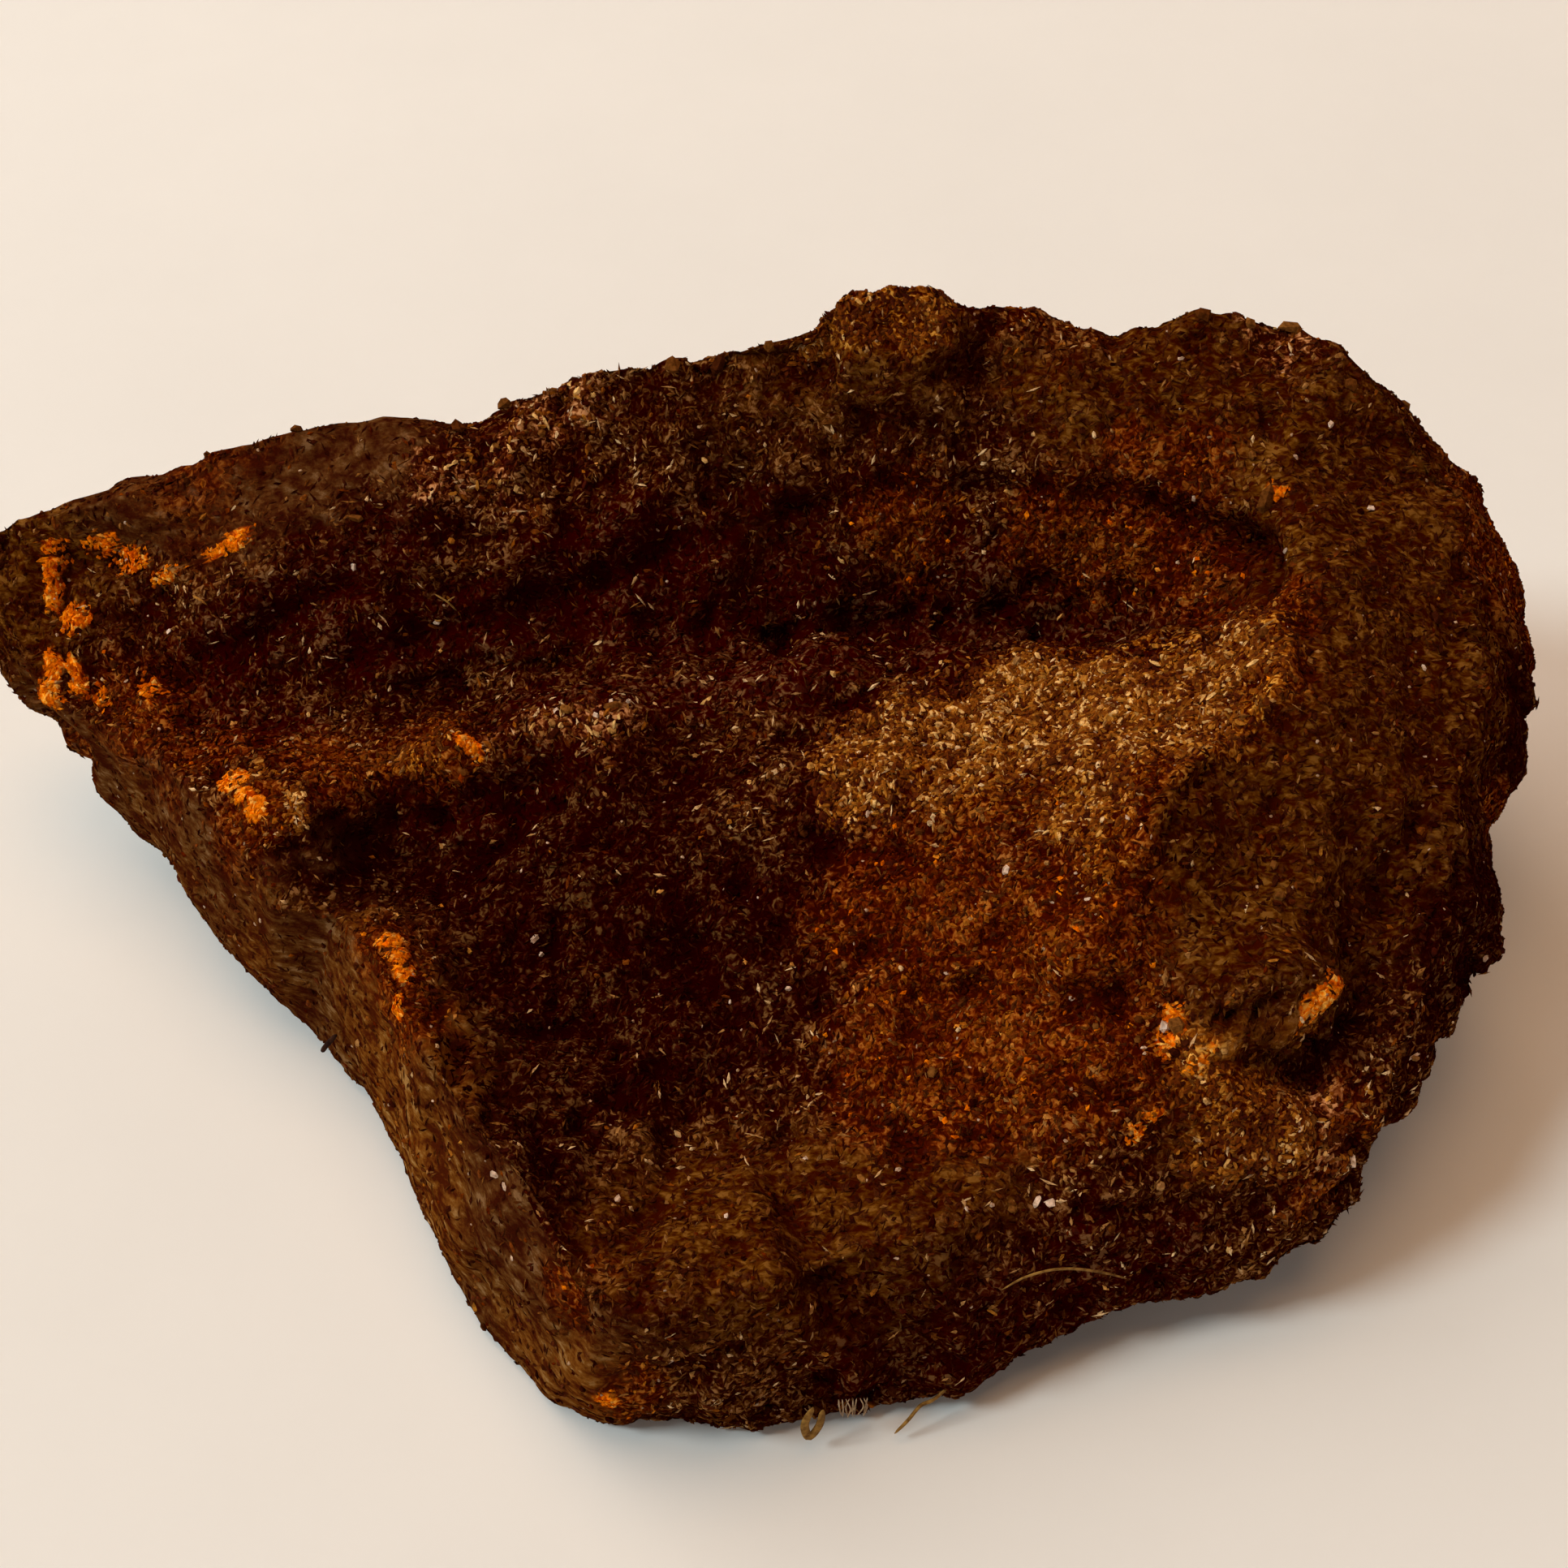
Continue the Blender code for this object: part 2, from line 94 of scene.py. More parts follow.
# Foot, the outline of the flat resting face, anticlockwise from the right, as (x, y).
FOOT = (
    (40.0, 4.0), (41.0, 13.0), (38.0, 20.5), (28.0, 25.5), (12.0, 27.0), (-6.0, 26.5), (-22.0, 24.5),
    (-36.0, 20.0), (-45.0, 13.5), (-45.5, 6.0), (-42.0, 1.0), (-37.0, -5.5), (-31.0, -11.5),
    (-25.5, -20.0), (-21.5, -29.0), (-17.5, -34.5), (-11.5, -38.5), (-3.5, -39.0), (4.0, -37.0),
    (12.0, -31.5), (19.0, -27.0), (26.0, -22.0), (32.0, -16.0), (36.0, -9.0), (39.0, -2.0),
)

# Spot heights of the upper relief inside the rim, as (x, y, z).
UPPER_SLOPE = (
    (-47.5, 14.0, 22.5), (-38.0, 16.0, 27.0), (-38.5, 11.8, 22.9), (-31.0, 17.0, 29.0),
    (-12.5, 19.5, 31.5), (-12.5, 16.0, 27.5), (-3.5, 20.0, 33.0), (-3.5, 17.0, 29.5), (4.5, 20.5, 37.0),
    (4.5, 18.0, 32.0), (12.0, 20.5, 35.5), (12.0, 18.5, 32.0), (19.0, 20.5, 35.0), (19.0, 18.0, 32.5),
    (29.0, 20.5, 35.0), (30.0, 16.0, 33.5), (37.0, 19.0, 34.5),
)
LEDGE_TOP = ((-30.0, 13.5, 26.5), (-24.5, 15.5, 29.0), (-19.5, 17.0, 30.5))
LEDGE_FOOT = ((-27.0, 12.0, 23.5), (-21.5, 14.5, 26.0), (-17.0, 16.0, 28.0))
CREASE = (
    (-43.0, 9.5, 19.0), (-37.0, 9.5, 20.0), (-32.5, 9.5, 20.5), (-27.0, 10.2, 21.3), (-21.0, 11.5, 22.8),
    (-15.5, 12.7, 23.8), (-9.5, 14.0, 25.2), (-5.5, 14.5, 26.5), (-0.5, 15.2, 27.6), (5.0, 15.8, 28.6),
    (12.0, 16.2, 29.3), (19.0, 15.5, 30.0), (24.5, 15.0, 30.5), (28.0, 14.0, 31.0), (31.5, 12.0, 31.5),
    (33.5, 9.0, 31.5), (34.0, 5.5, 31.5),
)
CHANNEL_BED = (
    (-41.5, 6.5, 16.8), (-33.0, 7.2, 17.5), (-26.5, 8.7, 18.9), (-21.0, 10.0, 20.2), (-15.5, 11.2, 20.4),
    (-8.5, 12.2, 20.7), (-1.0, 12.6, 20.3), (5.0, 12.8, 20.2), (12.5, 12.3, 20.5), (19.0, 11.8, 21.0),
    (25.0, 10.5, 22.3), (28.0, 10.0, 24.8), (30.0, 9.0, 26.6), (31.8, 7.0, 28.6),
)
NEAR_BANK = (
    (-12.0, 7.5, 20.9), (-6.5, 7.5, 21.3), (-1.0, 7.8, 21.9), (4.5, 7.8, 22.5), (12.0, 7.3, 23.3),
    (18.5, 6.3, 24.4), (24.0, 5.0, 26.0), (27.0, 5.0, 27.2), (29.5, 4.5, 28.4),
    (-4.0, 3.0, 21.9), (4.5, 3.0, 22.9), (12.0, 2.0, 24.1), (18.5, 1.0, 25.4), (24.5, 0.5, 27.0),
    (29.0, 0.0, 28.9), (4.5, -1.5, 23.2), (11.5, -2.8, 24.4), (17.5, -3.5, 26.0), (24.0, -4.5, 27.6),
    (29.0, -4.0, 29.2), (2.0, -5.5, 22.1), (9.5, -7.5, 23.3), (17.5, -8.5, 25.3),
)
PLATE_RIDGE = (
    (32.5, 2.0, 31.5), (31.5, -3.5, 30.8), (26.5, -8.0, 29.5), (23.5, -11.0, 28.0),
    (21.5, -14.0, 26.0), (19.5, -17.5, 24.0),
)
PLATE = (
    (40.0, 14.0, 32.0), (37.0, 8.0, 31.8), (36.0, -1.0, 30.0), (41.5, 3.5, 28.5), (35.5, -6.5, 27.5),
    (40.5, -5.0, 26.0), (29.0, -10.5, 26.2), (33.5, -12.0, 24.5), (39.5, -9.0, 24.0),
    (26.0, -15.0, 23.8), (31.0, -17.5, 22.5), (23.5, -19.0, 22.0),
)
CREVICE = ((39.5, -12.0, 20.0), (36.5, -17.0, 18.5), (41.0, -14.5, 21.5))
LIP = ((26.8, -22.5, 20.6), (30.0, -22.1, 20.8), (33.6, -20.5, 21.2))
HOLLOW = ((29.6, -23.6, 17.3), (32.5, -22.8, 16.6), (36.5, -21.8, 17.0))
LUMP = (
    (23.0, -23.0, 19.5), (26.5, -23.9, 18.9), (21.5, -27.0, 17.0), (27.5, -26.2, 18.0), (31.0, -26.2, 16.4),
)
SCARP_CREST = (
    (-36.5, -4.0, 19.3), (-33.8, -6.8, 18.2), (-31.8, -5.3, 18.4), (-30.0, -3.2, 19.0), (-23.3, -0.5, 20.0),
    (-17.0, 1.5, 21.3), (-11.0, 2.0, 22.0),
)
SCARP_FOOT = ((-29.3, -5.2, 15.6), (-24.0, -2.8, 16.0), (-17.0, -0.9, 18.0), (-10.5, -0.8, 20.4))
BOWL = (
    (-31.5, -9.5, 15.2), (-14.5, -5.0, 17.5), (-22.0, -10.0, 15.0), (-6.5, -5.5, 19.5),
    (-11.5, -13.0, 15.0), (-1.0, -11.5, 18.0), (9.5, -12.5, 20.5), (-18.0, -20.0, 14.0),
    (-7.5, -22.0, 13.5), (3.5, -20.5, 15.5), (13.5, -18.0, 19.0),
)
SHELF = (
    (16.5, -24.5, 16.5), (8.5, -27.0, 14.8), (-3.5, -29.5, 13.8), (-12.5, -29.0, 14.2),
    (-22.5, -17.0, 15.5),
)
FRONT_SLOPE = (
    (18.0, -29.5, 14.5), (24.0, -29.2, 13.5), (30.0, -28.8, 13.0), (34.0, -26.8, 14.1), (34.6, -24.5, 15.4),
)
SPOT_GROUPS = (
    UPPER_SLOPE, LEDGE_TOP, LEDGE_FOOT, CREASE, CHANNEL_BED, NEAR_BANK, PLATE_RIDGE, PLATE, CREVICE, LIP,
    HOLLOW, LUMP, SCARP_CREST, SCARP_FOOT, BOWL, SHELF, FRONT_SLOPE,
)
RELIEF_ROUNDING = 2.0
RIM_PULL = 8
SIDE_BULGE = 0.05

# Lumps are smooth random swells, as (size, height, seed).
LUMPS = ((15.0, 0.5, 11), (6.5, 0.6, 12), (3.6, 0.35, 13))
CHIP_SIZE = 8.0
CHIP_TILT = 0.17
CHIP_EDGE = 0.5
CHIP_SEED = 21
QUIET_BASE = 3.0
LOWEST_SIDE = 0.05

# Faces that broke or wore smoother than the rest, as (x, y, z), radius and the share of the lumps lost.
SMOOTH_FACES = (
    ((36.0, -4.0, 28.0), 15.0, 0.55),
    ((-33.0, -14.0, 9.0), 16.0, 0.5),
    ((-22.0, -30.0, 9.0), 14.0, 0.4),
    ((-36.0, 22.0, 28.0), 12.0, 0.5),
)
LATTICE_VALUES = 4096
LATTICE_STEPS = np.array((73856093, 19349663, 83492791))

# ---- Stains, faces and painted shade: round patches as (x, y, z, radius) ------------------------

# Loose ochre sand on the near bank.
OCHRE = (
    (24.0, -3.4, 27.4, 3.7), (5.5, -3.4, 22.8, 1.5), (25.0, -6.4, 28.4, 1.2), (21.2, -9.2, 27.2, 1.2),
    (20.0, -11.6, 26.2, 1.1), (19.4, -14.0, 24.8, 1.0), (24.9, -25.0, 19.3, 1.3), (5.5, 22.8, 39.8, 1.6),
    (9.8, 22.8, 39.8, 1.6), (27.5, -27.0, 17.0, 1.8), (31.0, -26.6, 16.0, 1.6), (10.3, -1.4, 24.0, 3.2),
    (6.2, -0.6, 23.0, 1.8), (4.2, -4.8, 22.4, 1.8), (32.4, -21.6, 19.4, 0.7), (33.4, -20.7, 20.2, 0.8),
    (-25.5, 1.0, 19.8, 1.1), (-23.3, 1.8, 19.9, 0.9), (30.2, -0.8, 30.0, 1.5), (28.6, -3.2, 29.2, 1.5),
    (27.6, -0.6, 28.0, 3.0), (22.6, 0.0, 26.2, 4.0), (17.2, 1.0, 25.0, 3.5), (30.2, 1.8, 29.5, 1.9),
    (18.6, -9.4, 25.0, 1.4), (10.8, -4.2, 24.0, 2.2), (18.4, -3.2, 25.6, 3.3), (27.0, -23.1, 20.1, 0.5),
    (-36.4, -1.6, 19.2, 1.0), (-33.9, -4.6, 19.0, 1.0), (5.4, 21.6, 38.2, 1.0), (2.4, 22.4, 36.8, 1.0),
    (8.6, 21.2, 38.2, 0.9), (18.6, 1.8, 25.2, 2.4), (18.4, 2.2, 25.2, 2.8),
)
# Pale granules: the ledge, the scarp's crest, the back crest and the right front.
PALE = (
    (-16.5, 20.5, 32.5, 2.2), (-20.0, 2.3, 20.8, 1.1), (-17.6, 2.1, 21.5, 1.3), (-15.3, 1.9, 22.0, 1.4),
    (-12.5, 1.9, 22.1, 1.4), (32.5, 24.3, 37.4, 1.6), (35.5, 24.2, 36.8, 1.6), (34.6, -26.2, 14.2, 1.6),
    (35.2, -27.8, 12.2, 1.4), (-24.0, 16.5, 30.0, 1.7), (-20.5, 18.0, 31.2, 1.6), (-18.5, 15.5, 28.6, 1.1),
)
# Rusty ore: the foot of the bank and the plate's border, the channel's far wall, the scarp and the lump.
RUST = (
    (7.0, -12.5, 20.5, 3.5), (12.0, -15.5, 20.0, 4.0), (17.0, -18.5, 21.8, 4.0), (20.0, -15.5, 24.8, 3.0),
    (31.5, -1.5, 30.5, 1.8), (32.5, 3.0, 31.2, 1.8), (12.0, -20.0, 17.5, 4.0), (7.0, -22.5, 16.3, 3.4),
    (12.0, -24.0, 16.0, 3.2), (19.0, -23.5, 19.0, 3.9), (9.5, 15.5, 26.6, 2.2), (19.0, 14.6, 27.6, 2.2),
    (26.5, 12.6, 27.8, 2.4), (9.0, 15.2, 26.2, 1.6), (23.0, 13.8, 27.0, 2.2), (29.0, 9.0, 26.6, 1.8),
    (29.5, 6.0, 27.5, 1.4), (-30.5, -0.5, 19.5, 2.4), (-36.5, -4.5, 18.4, 2.2), (-24.0, 1.5, 20.5, 2.6),
    (-45.0, 7.0, 17.8, 2.6), (-26.0, -14.0, 16.5, 1.8), (-24.0, -18.5, 15.8, 2.0),
    (-13.0, -36.5, 13.0, 1.5), (-10.5, -40.0, 6.0, 1.5), (-20.0, 28.5, 14.0, 7.0), (14.0, 31.0, 26.0, 6.0),
    (33.0, 30.0, 12.0, 7.0), (52.0, 16.0, 20.0, 5.0), (-40.0, 23.5, 22.0, 5.0), (-39.8, 2.8, 17.8, 2.4),
    (-33.0, 2.0, 19.0, 2.4), (-53.0, 9.0, 10.0, 2.0), (30.0, -3.0, 30.2, 1.0), (29.0, -4.3, 29.3, 1.0),
    (27.3, -5.8, 28.7, 1.1), (24.7, -7.2, 28.5, 1.2), (22.9, -8.6, 28.2, 1.3), (21.7, -10.6, 27.4, 1.4),
    (21.0, -12.6, 26.4, 1.5), (20.2, -14.5, 25.4, 1.6), (18.8, -16.2, 24.4, 1.8), (35.6, -25.2, 14.6, 1.5),
    (34.4, -28.4, 11.2, 1.5), (49.2, -3.0, 15.6, 1.8), (24.0, 16.4, 32.6, 1.6), (28.5, 16.0, 32.8, 1.6),
    (12.5, -8.0, 23.8, 1.9), (17.5, -7.6, 25.3, 1.7),
)
# Bright earthy orange crusts, mostly on the nose, the rim of the left face, the lump and the lip.
ORANGE = (
    (-52.7, 13.7, 20.5, 0.75), (-52.7, 14.6, 21.8, 0.75), (-52.7, 15.4, 23.0, 0.66),
    (-52.8, 16.2, 24.0, 0.58), (-51.6, 12.5, 20.2, 0.66), (-52.6, 9.9, 18.3, 0.75),
    (-52.6, 9.0, 17.9, 0.75), (-52.5, 8.2, 17.5, 0.66), (-51.0, 9.8, 18.4, 0.58), (-50.5, 8.5, 17.7, 0.58),
    (-48.9, 16.3, 24.6, 0.70), (-46.6, 15.1, 23.4, 0.70), (-44.1, 13.9, 23.4, 0.53),
    (-40.3, 14.7, 24.8, 0.53), (-39.6, 14.9, 25.1, 0.62), (-38.9, 15.0, 25.5, 0.62),
    (-38.3, 15.1, 25.8, 0.62), (-48.9, 7.9, 17.4, 0.62), (-45.5, 8.0, 18.0, 0.62),
    (-47.2, 15.6, 23.8, 0.53), (-37.5, -1.5, 19.1, 0.85), (-36.5, -3.0, 19.0, 0.69),
    (-35.5, -4.0, 18.7, 0.85), (-34.5, -5.1, 17.3, 0.69), (-26.0, -13.0, 16.2, 0.77),
    (-25.3, -14.5, 16.5, 0.77), (-24.6, -16.0, 16.7, 0.86), (-24.9, -18.0, 16.0, 0.69),
    (-12.1, -37.8, 12.4, 0.77), (-13.0, -36.9, 12.7, 0.69), (-10.8, -40.3, 5.8, 0.69),
    (23.7, -23.4, 19.5, 0.69), (25.3, -24.2, 18.8, 0.69), (21.6, -27.4, 17.0, 0.60),
    (22.6, -26.9, 17.5, 0.60), (26.3, -22.8, 19.4, 0.50), (33.0, 12.5, 32.2, 0.60),
    (34.0, 12.6, 32.2, 0.52), (-22.0, 0.8, 20.8, 0.60), (-21.2, 0.2, 20.3, 0.52), (24.0, -22.2, 20.3, 0.77),
    (24.2, -22.9, 20.0, 0.60), (34.0, -20.1, 20.7, 0.62), (33.4, -20.6, 20.4, 0.60),
    (32.7, -21.0, 20.1, 0.56), (32.0, -21.4, 19.9, 0.50), (-50.4, 12.5, 20.3, 0.50),
)
# Olive-brown ore: the plate, the low front shelf, and parts of the crest and the back.
OLIVE = (
    (40.0, 13.5, 31.0, 6.0), (36.5, 3.0, 31.0, 6.0), (43.0, 3.0, 27.0, 5.5), (34.5, -6.0, 29.0, 5.0),
    (40.0, -6.0, 25.5, 4.5), (30.5, -12.5, 25.0, 3.8), (33.0, -16.0, 23.0, 3.8), (27.0, -17.0, 23.0, 3.5),
    (35.0, 18.0, 34.5, 6.0), (27.0, 21.0, 36.0, 5.0), (44.0, 10.0, 29.0, 5.0), (34.4, -1.0, 30.4, 2.0),
    (32.6, -4.8, 29.4, 2.0), (29.6, -8.2, 28.2, 2.3), (26.6, -10.6, 27.6, 2.2), (24.6, -13.2, 26.4, 2.0),
    (23.2, -16.0, 24.6, 1.8), (-3.5, -32.5, 14.5, 4.5), (3.5, -31.0, 14.0, 4.5), (10.5, -28.5, 14.6, 3.4),
    (-9.0, -34.0, 14.5, 3.3), (8.0, 22.5, 40.0, 4.0), (27.0, -25.5, 18.0, 3.0), (0.0, 30.0, 22.0, 8.0),
    (42.0, 27.0, 20.0, 7.0), (-46.0, 22.0, 14.0, 6.0), (34.4, 9.0, 31.8, 1.8), (34.0, 4.6, 31.6, 1.6),
    (23.0, 19.6, 34.8, 3.2), (29.6, 19.4, 35.0, 3.2), (18.5, 21.5, 35.2, 2.0), (39.5, -1.0, 28.0, 3.0),
    (38.6, -12.6, 21.4, 2.0), (-53.5, 14.5, 21.5, 3.6),
)
# Smooth grey-brown faces: the upper left facet and the steep left face.
GREY = (
    (-47.0, 18.0, 27.5, 3.5), (-40.0, 18.5, 29.0, 4.0), (-34.0, 18.5, 30.0, 3.5), (-28.5, 19.0, 31.2, 3.0),
    (-50.0, 5.5, 11.0, 5.0), (-46.5, 1.5, 9.0, 6.0), (-41.5, -4.0, 9.0, 6.0), (-37.0, -8.5, 8.0, 6.0),
    (-19.5, -32.0, 8.0, 6.5), (-15.5, -36.5, 7.5, 5.0), (-54.5, 9.5, 13.5, 3.0), (-51.0, 7.6, 14.0, 3.2),
    (-46.8, 4.2, 13.6, 3.2), (-42.6, -0.4, 13.6, 3.4), (-38.6, -5.4, 13.0, 3.2), (-33.5, -10.0, 12.0, 2.6),
    (-31.0, -12.5, 8.0, 6.0), (-26.4, -18.6, 9.0, 6.0), (-22.8, -25.4, 9.0, 6.0), (-28.6, -13.4, 14.5, 1.9),
)
# Smooth tan ore: painted light on the lit strips of the steep left face, and the tan top of the lip.
TAN = (
    (-29.6, -14.6, 8.9, 3.4), (-26.8, -18.0, 10.0, 3.6), (-25.1, -21.1, 9.6, 3.8), (-23.7, -24.3, 9.2, 3.6),
    (-22.5, -27.0, 8.6, 3.2), (-26.6, -20.0, 5.0, 3.4), (-38.2, -7.4, 8.6, 3.0), (-42.6, -2.4, 10.0, 3.0),
    (-46.4, 3.2, 9.6, 2.8), (-13.6, -38.9, 6.4, 2.8), (-16.0, -36.2, 4.0, 2.6), (-20.5, -30.0, 6.0, 2.3),
    (-18.0, -33.5, 4.0, 1.9), (-22.4, -27.0, 5.0, 2.8), (-36.0, -9.4, 9.0, 2.6), (25.2, -23.8, 19.7, 0.9),
    (26.7, -23.1, 20.1, 0.9), (28.2, -22.7, 20.2, 0.9), (29.6, -22.3, 20.3, 0.9), (31.0, -21.9, 20.2, 0.9),
    (32.3, -21.4, 20.1, 0.9), (33.5, -20.6, 20.3, 0.9), (26.4, -24.6, 19.2, 0.8),
)
# Near-black: dark ore in the bowl, and painted shade in the crevice, under the lip, along the plate's
# left border, at the right end, low on the front, low on the back under the bulge and in small hollows.
DARK = (
    (31.7, 5.6, 29.3, 0.9), (-29.1, -6.3, 15.3, 2.4), (-22.0, -6.5, 15.0, 3.5), (-10.0, -4.5, 18.5, 3.5),
    (-16.0, -9.5, 15.0, 5.5), (-8.5, -11.0, 16.0, 5.0), (-1.5, -13.0, 17.5, 3.5), (-16.0, -16.0, 14.0, 5.5),
    (-8.0, -17.0, 14.0, 5.0), (2.0, -9.0, 20.0, 2.2), (-17.0, -22.0, 14.5, 3.5), (-14.0, -28.5, 14.5, 2.5),
    (8.5, -36.0, 8.0, 3.0), (36.4, -14.9, 19.7, 1.3), (36.3, -17.1, 18.2, 1.4), (40.3, -10.9, 20.8, 1.3),
    (43.2, -14.4, 19.0, 3.0), (45.0, -8.0, 18.0, 4.5), (50.0, 2.0, 19.0, 4.5), (51.0, 9.0, 22.0, 3.5),
    (34.6, -22.2, 17.2, 1.8), (-13.0, 24.0, 8.0, 8.0), (28.0, 29.0, 5.0, 8.0), (23.9, -11.8, 27.3, 1.5),
    (25.4, -10.2, 28.0, 1.6), (27.4, -8.7, 28.3, 1.7), (29.4, -7.0, 28.6, 1.5), (31.1, -4.9, 29.7, 1.0),
    (26.0, -12.2, 26.8, 1.7), (23.6, -13.9, 25.8, 1.5), (25.4, -14.0, 25.5, 1.5), (22.4, -16.0, 24.4, 1.2),
    (-3.8, 18.4, 30.0, 1.5), (-34.4, -0.2, 18.9, 1.5), (24.6, -10.9, 28.0, 1.6), (27.0, -16.5, 23.4, 1.6),
    (29.6, -14.4, 24.0, 1.4), (-49.6, 10.6, 19.0, 1.6), (-34.6, -1.3, 19.0, 1.8),
)
# Dull maroon, a little redder and brighter than the dark: painted shade in the channel, its crease and the
# notch at its right end, along the bank's far edge, at the foot of the scarp and on the front face.
MAROON = (
    (-42.8, 8.5, 18.1, 2.6), (-39.7, 9.6, 20.2, 2.2), (-36.6, 10.5, 21.8, 1.8), (-33.9, 11.3, 23.1, 1.6),
    (-31.2, 11.8, 24.6, 1.6), (-27.7, 13.3, 26.3, 1.5), (-24.1, 14.8, 28.8, 1.3), (-30.3, 9.4, 20.5, 1.6),
    (-26.9, 9.8, 21.0, 1.7), (-23.4, 10.3, 21.7, 1.9), (-19.9, 10.8, 22.4, 2.2), (-17.1, 12.1, 22.2, 2.4),
    (-14.2, 12.5, 23.0, 2.4), (-11.3, 13.1, 24.1, 2.2), (-8.4, 14.2, 24.6, 1.9), (-3.8, 15.2, 26.1, 1.5),
    (-0.9, 16.1, 27.0, 1.3), (1.9, 15.9, 28.1, 1.2), (7.6, 16.7, 29.3, 1.1), (12.8, 17.1, 28.8, 1.1),
    (17.7, 15.6, 29.9, 1.1), (22.2, 15.3, 30.3, 1.1), (26.0, 14.9, 31.0, 1.1), (-11.0, 12.0, 21.5, 2.6),
    (-6.7, 12.2, 21.8, 2.7), (-2.7, 12.2, 21.3, 2.8), (1.4, 12.2, 20.9, 2.8), (5.5, 12.6, 21.0, 2.8),
    (9.5, 12.9, 21.5, 2.6), (13.6, 13.0, 21.8, 2.4), (17.6, 12.6, 22.2, 2.3), (21.6, 11.9, 22.5, 2.2),
    (25.3, 10.7, 23.7, 1.7), (27.8, 10.3, 26.1, 1.3), (26.6, 13.5, 29.2, 1.1), (28.8, 12.0, 28.7, 1.2),
    (30.8, 11.1, 29.4, 1.3), (32.2, 10.0, 30.1, 1.2), (32.5, 8.2, 29.7, 1.1), (-29.7, -4.2, 17.2, 2.2),
    (-24.9, -1.9, 17.2, 2.0), (-22.7, -2.7, 16.9, 2.2), (-19.9, -3.1, 16.7, 2.2), (-17.8, -1.2, 18.0, 1.8),
    (-15.4, -0.5, 20.0, 1.5), (-16.1, 4.9, 20.8, 1.7), (-12.6, 4.2, 22.0, 1.6), (-9.3, 4.7, 21.7, 1.7),
    (-6.0, 5.0, 21.8, 1.7), (-2.6, 5.0, 22.1, 1.8), (0.8, 5.2, 22.7, 1.8), (4.1, 5.5, 23.0, 1.8),
    (7.6, 6.4, 22.9, 1.8), (10.9, 6.2, 23.6, 1.8), (14.3, 6.2, 24.2, 1.7), (18.0, 5.8, 24.6, 1.6),
    (21.5, 5.4, 25.4, 1.5), (24.0, 5.0, 26.2, 1.4), (26.2, 5.2, 26.8, 1.4), (28.6, 5.4, 27.6, 1.2),
    (-38.2, 4.2, 17.6, 1.5), (-40.5, 5.0, 17.3, 1.5), (-36.2, 5.2, 17.5, 1.5), (-34.0, 6.0, 17.4, 1.5),
    (5.0, -38.5, 8.0, 3.0), (12.0, -37.0, 8.0, 3.0), (19.0, -34.5, 8.0, 3.0), (25.0, -32.5, 8.0, 1.9),
    (26.4, 6.0, 25.8, 1.6), (27.4, 4.2, 27.4, 1.3), (24.6, 6.4, 25.4, 1.5), (25.4, 4.2, 26.6, 2.0),
    (22.4, 4.8, 25.6, 1.8), (28.2, 4.4, 27.6, 1.4), (19.6, 5.0, 24.8, 1.6), (-38.0, 2.8, 17.9, 1.5),
    (-0.5, 4.0, 22.6, 1.4), (26.0, 4.6, 26.6, 2.4), (-38.6, 3.6, 17.7, 2.2), (0.8, 4.6, 22.7, 2.4),
    (28.2, 6.2, 26.6, 1.8), (-17.0, 5.6, 20.4, 1.6),
)
STAINS = {
    "ochre": OCHRE, "pale": PALE, "rust": RUST, "olive": OLIVE, "grey": GREY, "tan": TAN, "dark": DARK,
    "maroon": MAROON,
}
FLAT_LOOK = 0.6              # how much a height difference counts in a patch's reach
GROUND_WEIGHT = 0.16         # how strongly plain brown ore holds out against the stains
STAIN_SHARPNESS = 1.6
STAIN_PUSH = ((7.0, 1.3), (2.4, 0.9), (0.9, 0.45))   # size and reach of the noise that frays the borders
STAIN_PUSH_SEED = 300
LOW_LEFT = (-5.0, 24.0)      # left of the first and below the second, only steep faces are grey
GREY_SLOPES = (0.45, 0.7)    # upward share of a face's normal over which grey gives way there
PALE_BREAKS = (1.8, 66)      # size and seed of the noise that breaks the pale patches up
PALE_BREAK_EDGE = (-0.25, 0.25)
CRUST_EDGE = (0.34, 0.52)    # strength between which an orange crust begins
CRUST_TRACE = 0.02           # weakest crust that the wobble can strengthen
CRUST_WOBBLE = ((1.6, 0.2, 44), (0.7, 0.28, 45))   # swells that make the crusts' edges uneven

# How pale each kind of ground looks, from near black at 0 to tan at 1.
PALENESS = {
    "ground": 0.32, "dark": 0.12, "maroon": 0.18, "olive": 0.32, "grey": 0.30, "tan": 0.40, "rust": 0.36,
    "ochre": 0.55, "pale": 0.42,
}
PALE_DEEP = 0.55             # the share of that paleness kept where the relief lies deepest: painted shade
PALE_RISE = 0.9              # what the highest relief gains on it: painted light
# How far a grain's paleness strays from the ground's, as the spread of the logarithm of their ratio.
STRAY = {
    "ground": 0.55, "dark": 0.75, "maroon": 0.7, "olive": 0.32, "grey": 0.3, "tan": 0.3, "rust": 0.28,
    "ochre": 0.4, "pale": 0.7,
}

# ---- Skin ---------------------------------------------------------------------------------------

TOP_COLUMNS = 288
TOP_ROWS = 168
SIDE_ROWS = 44

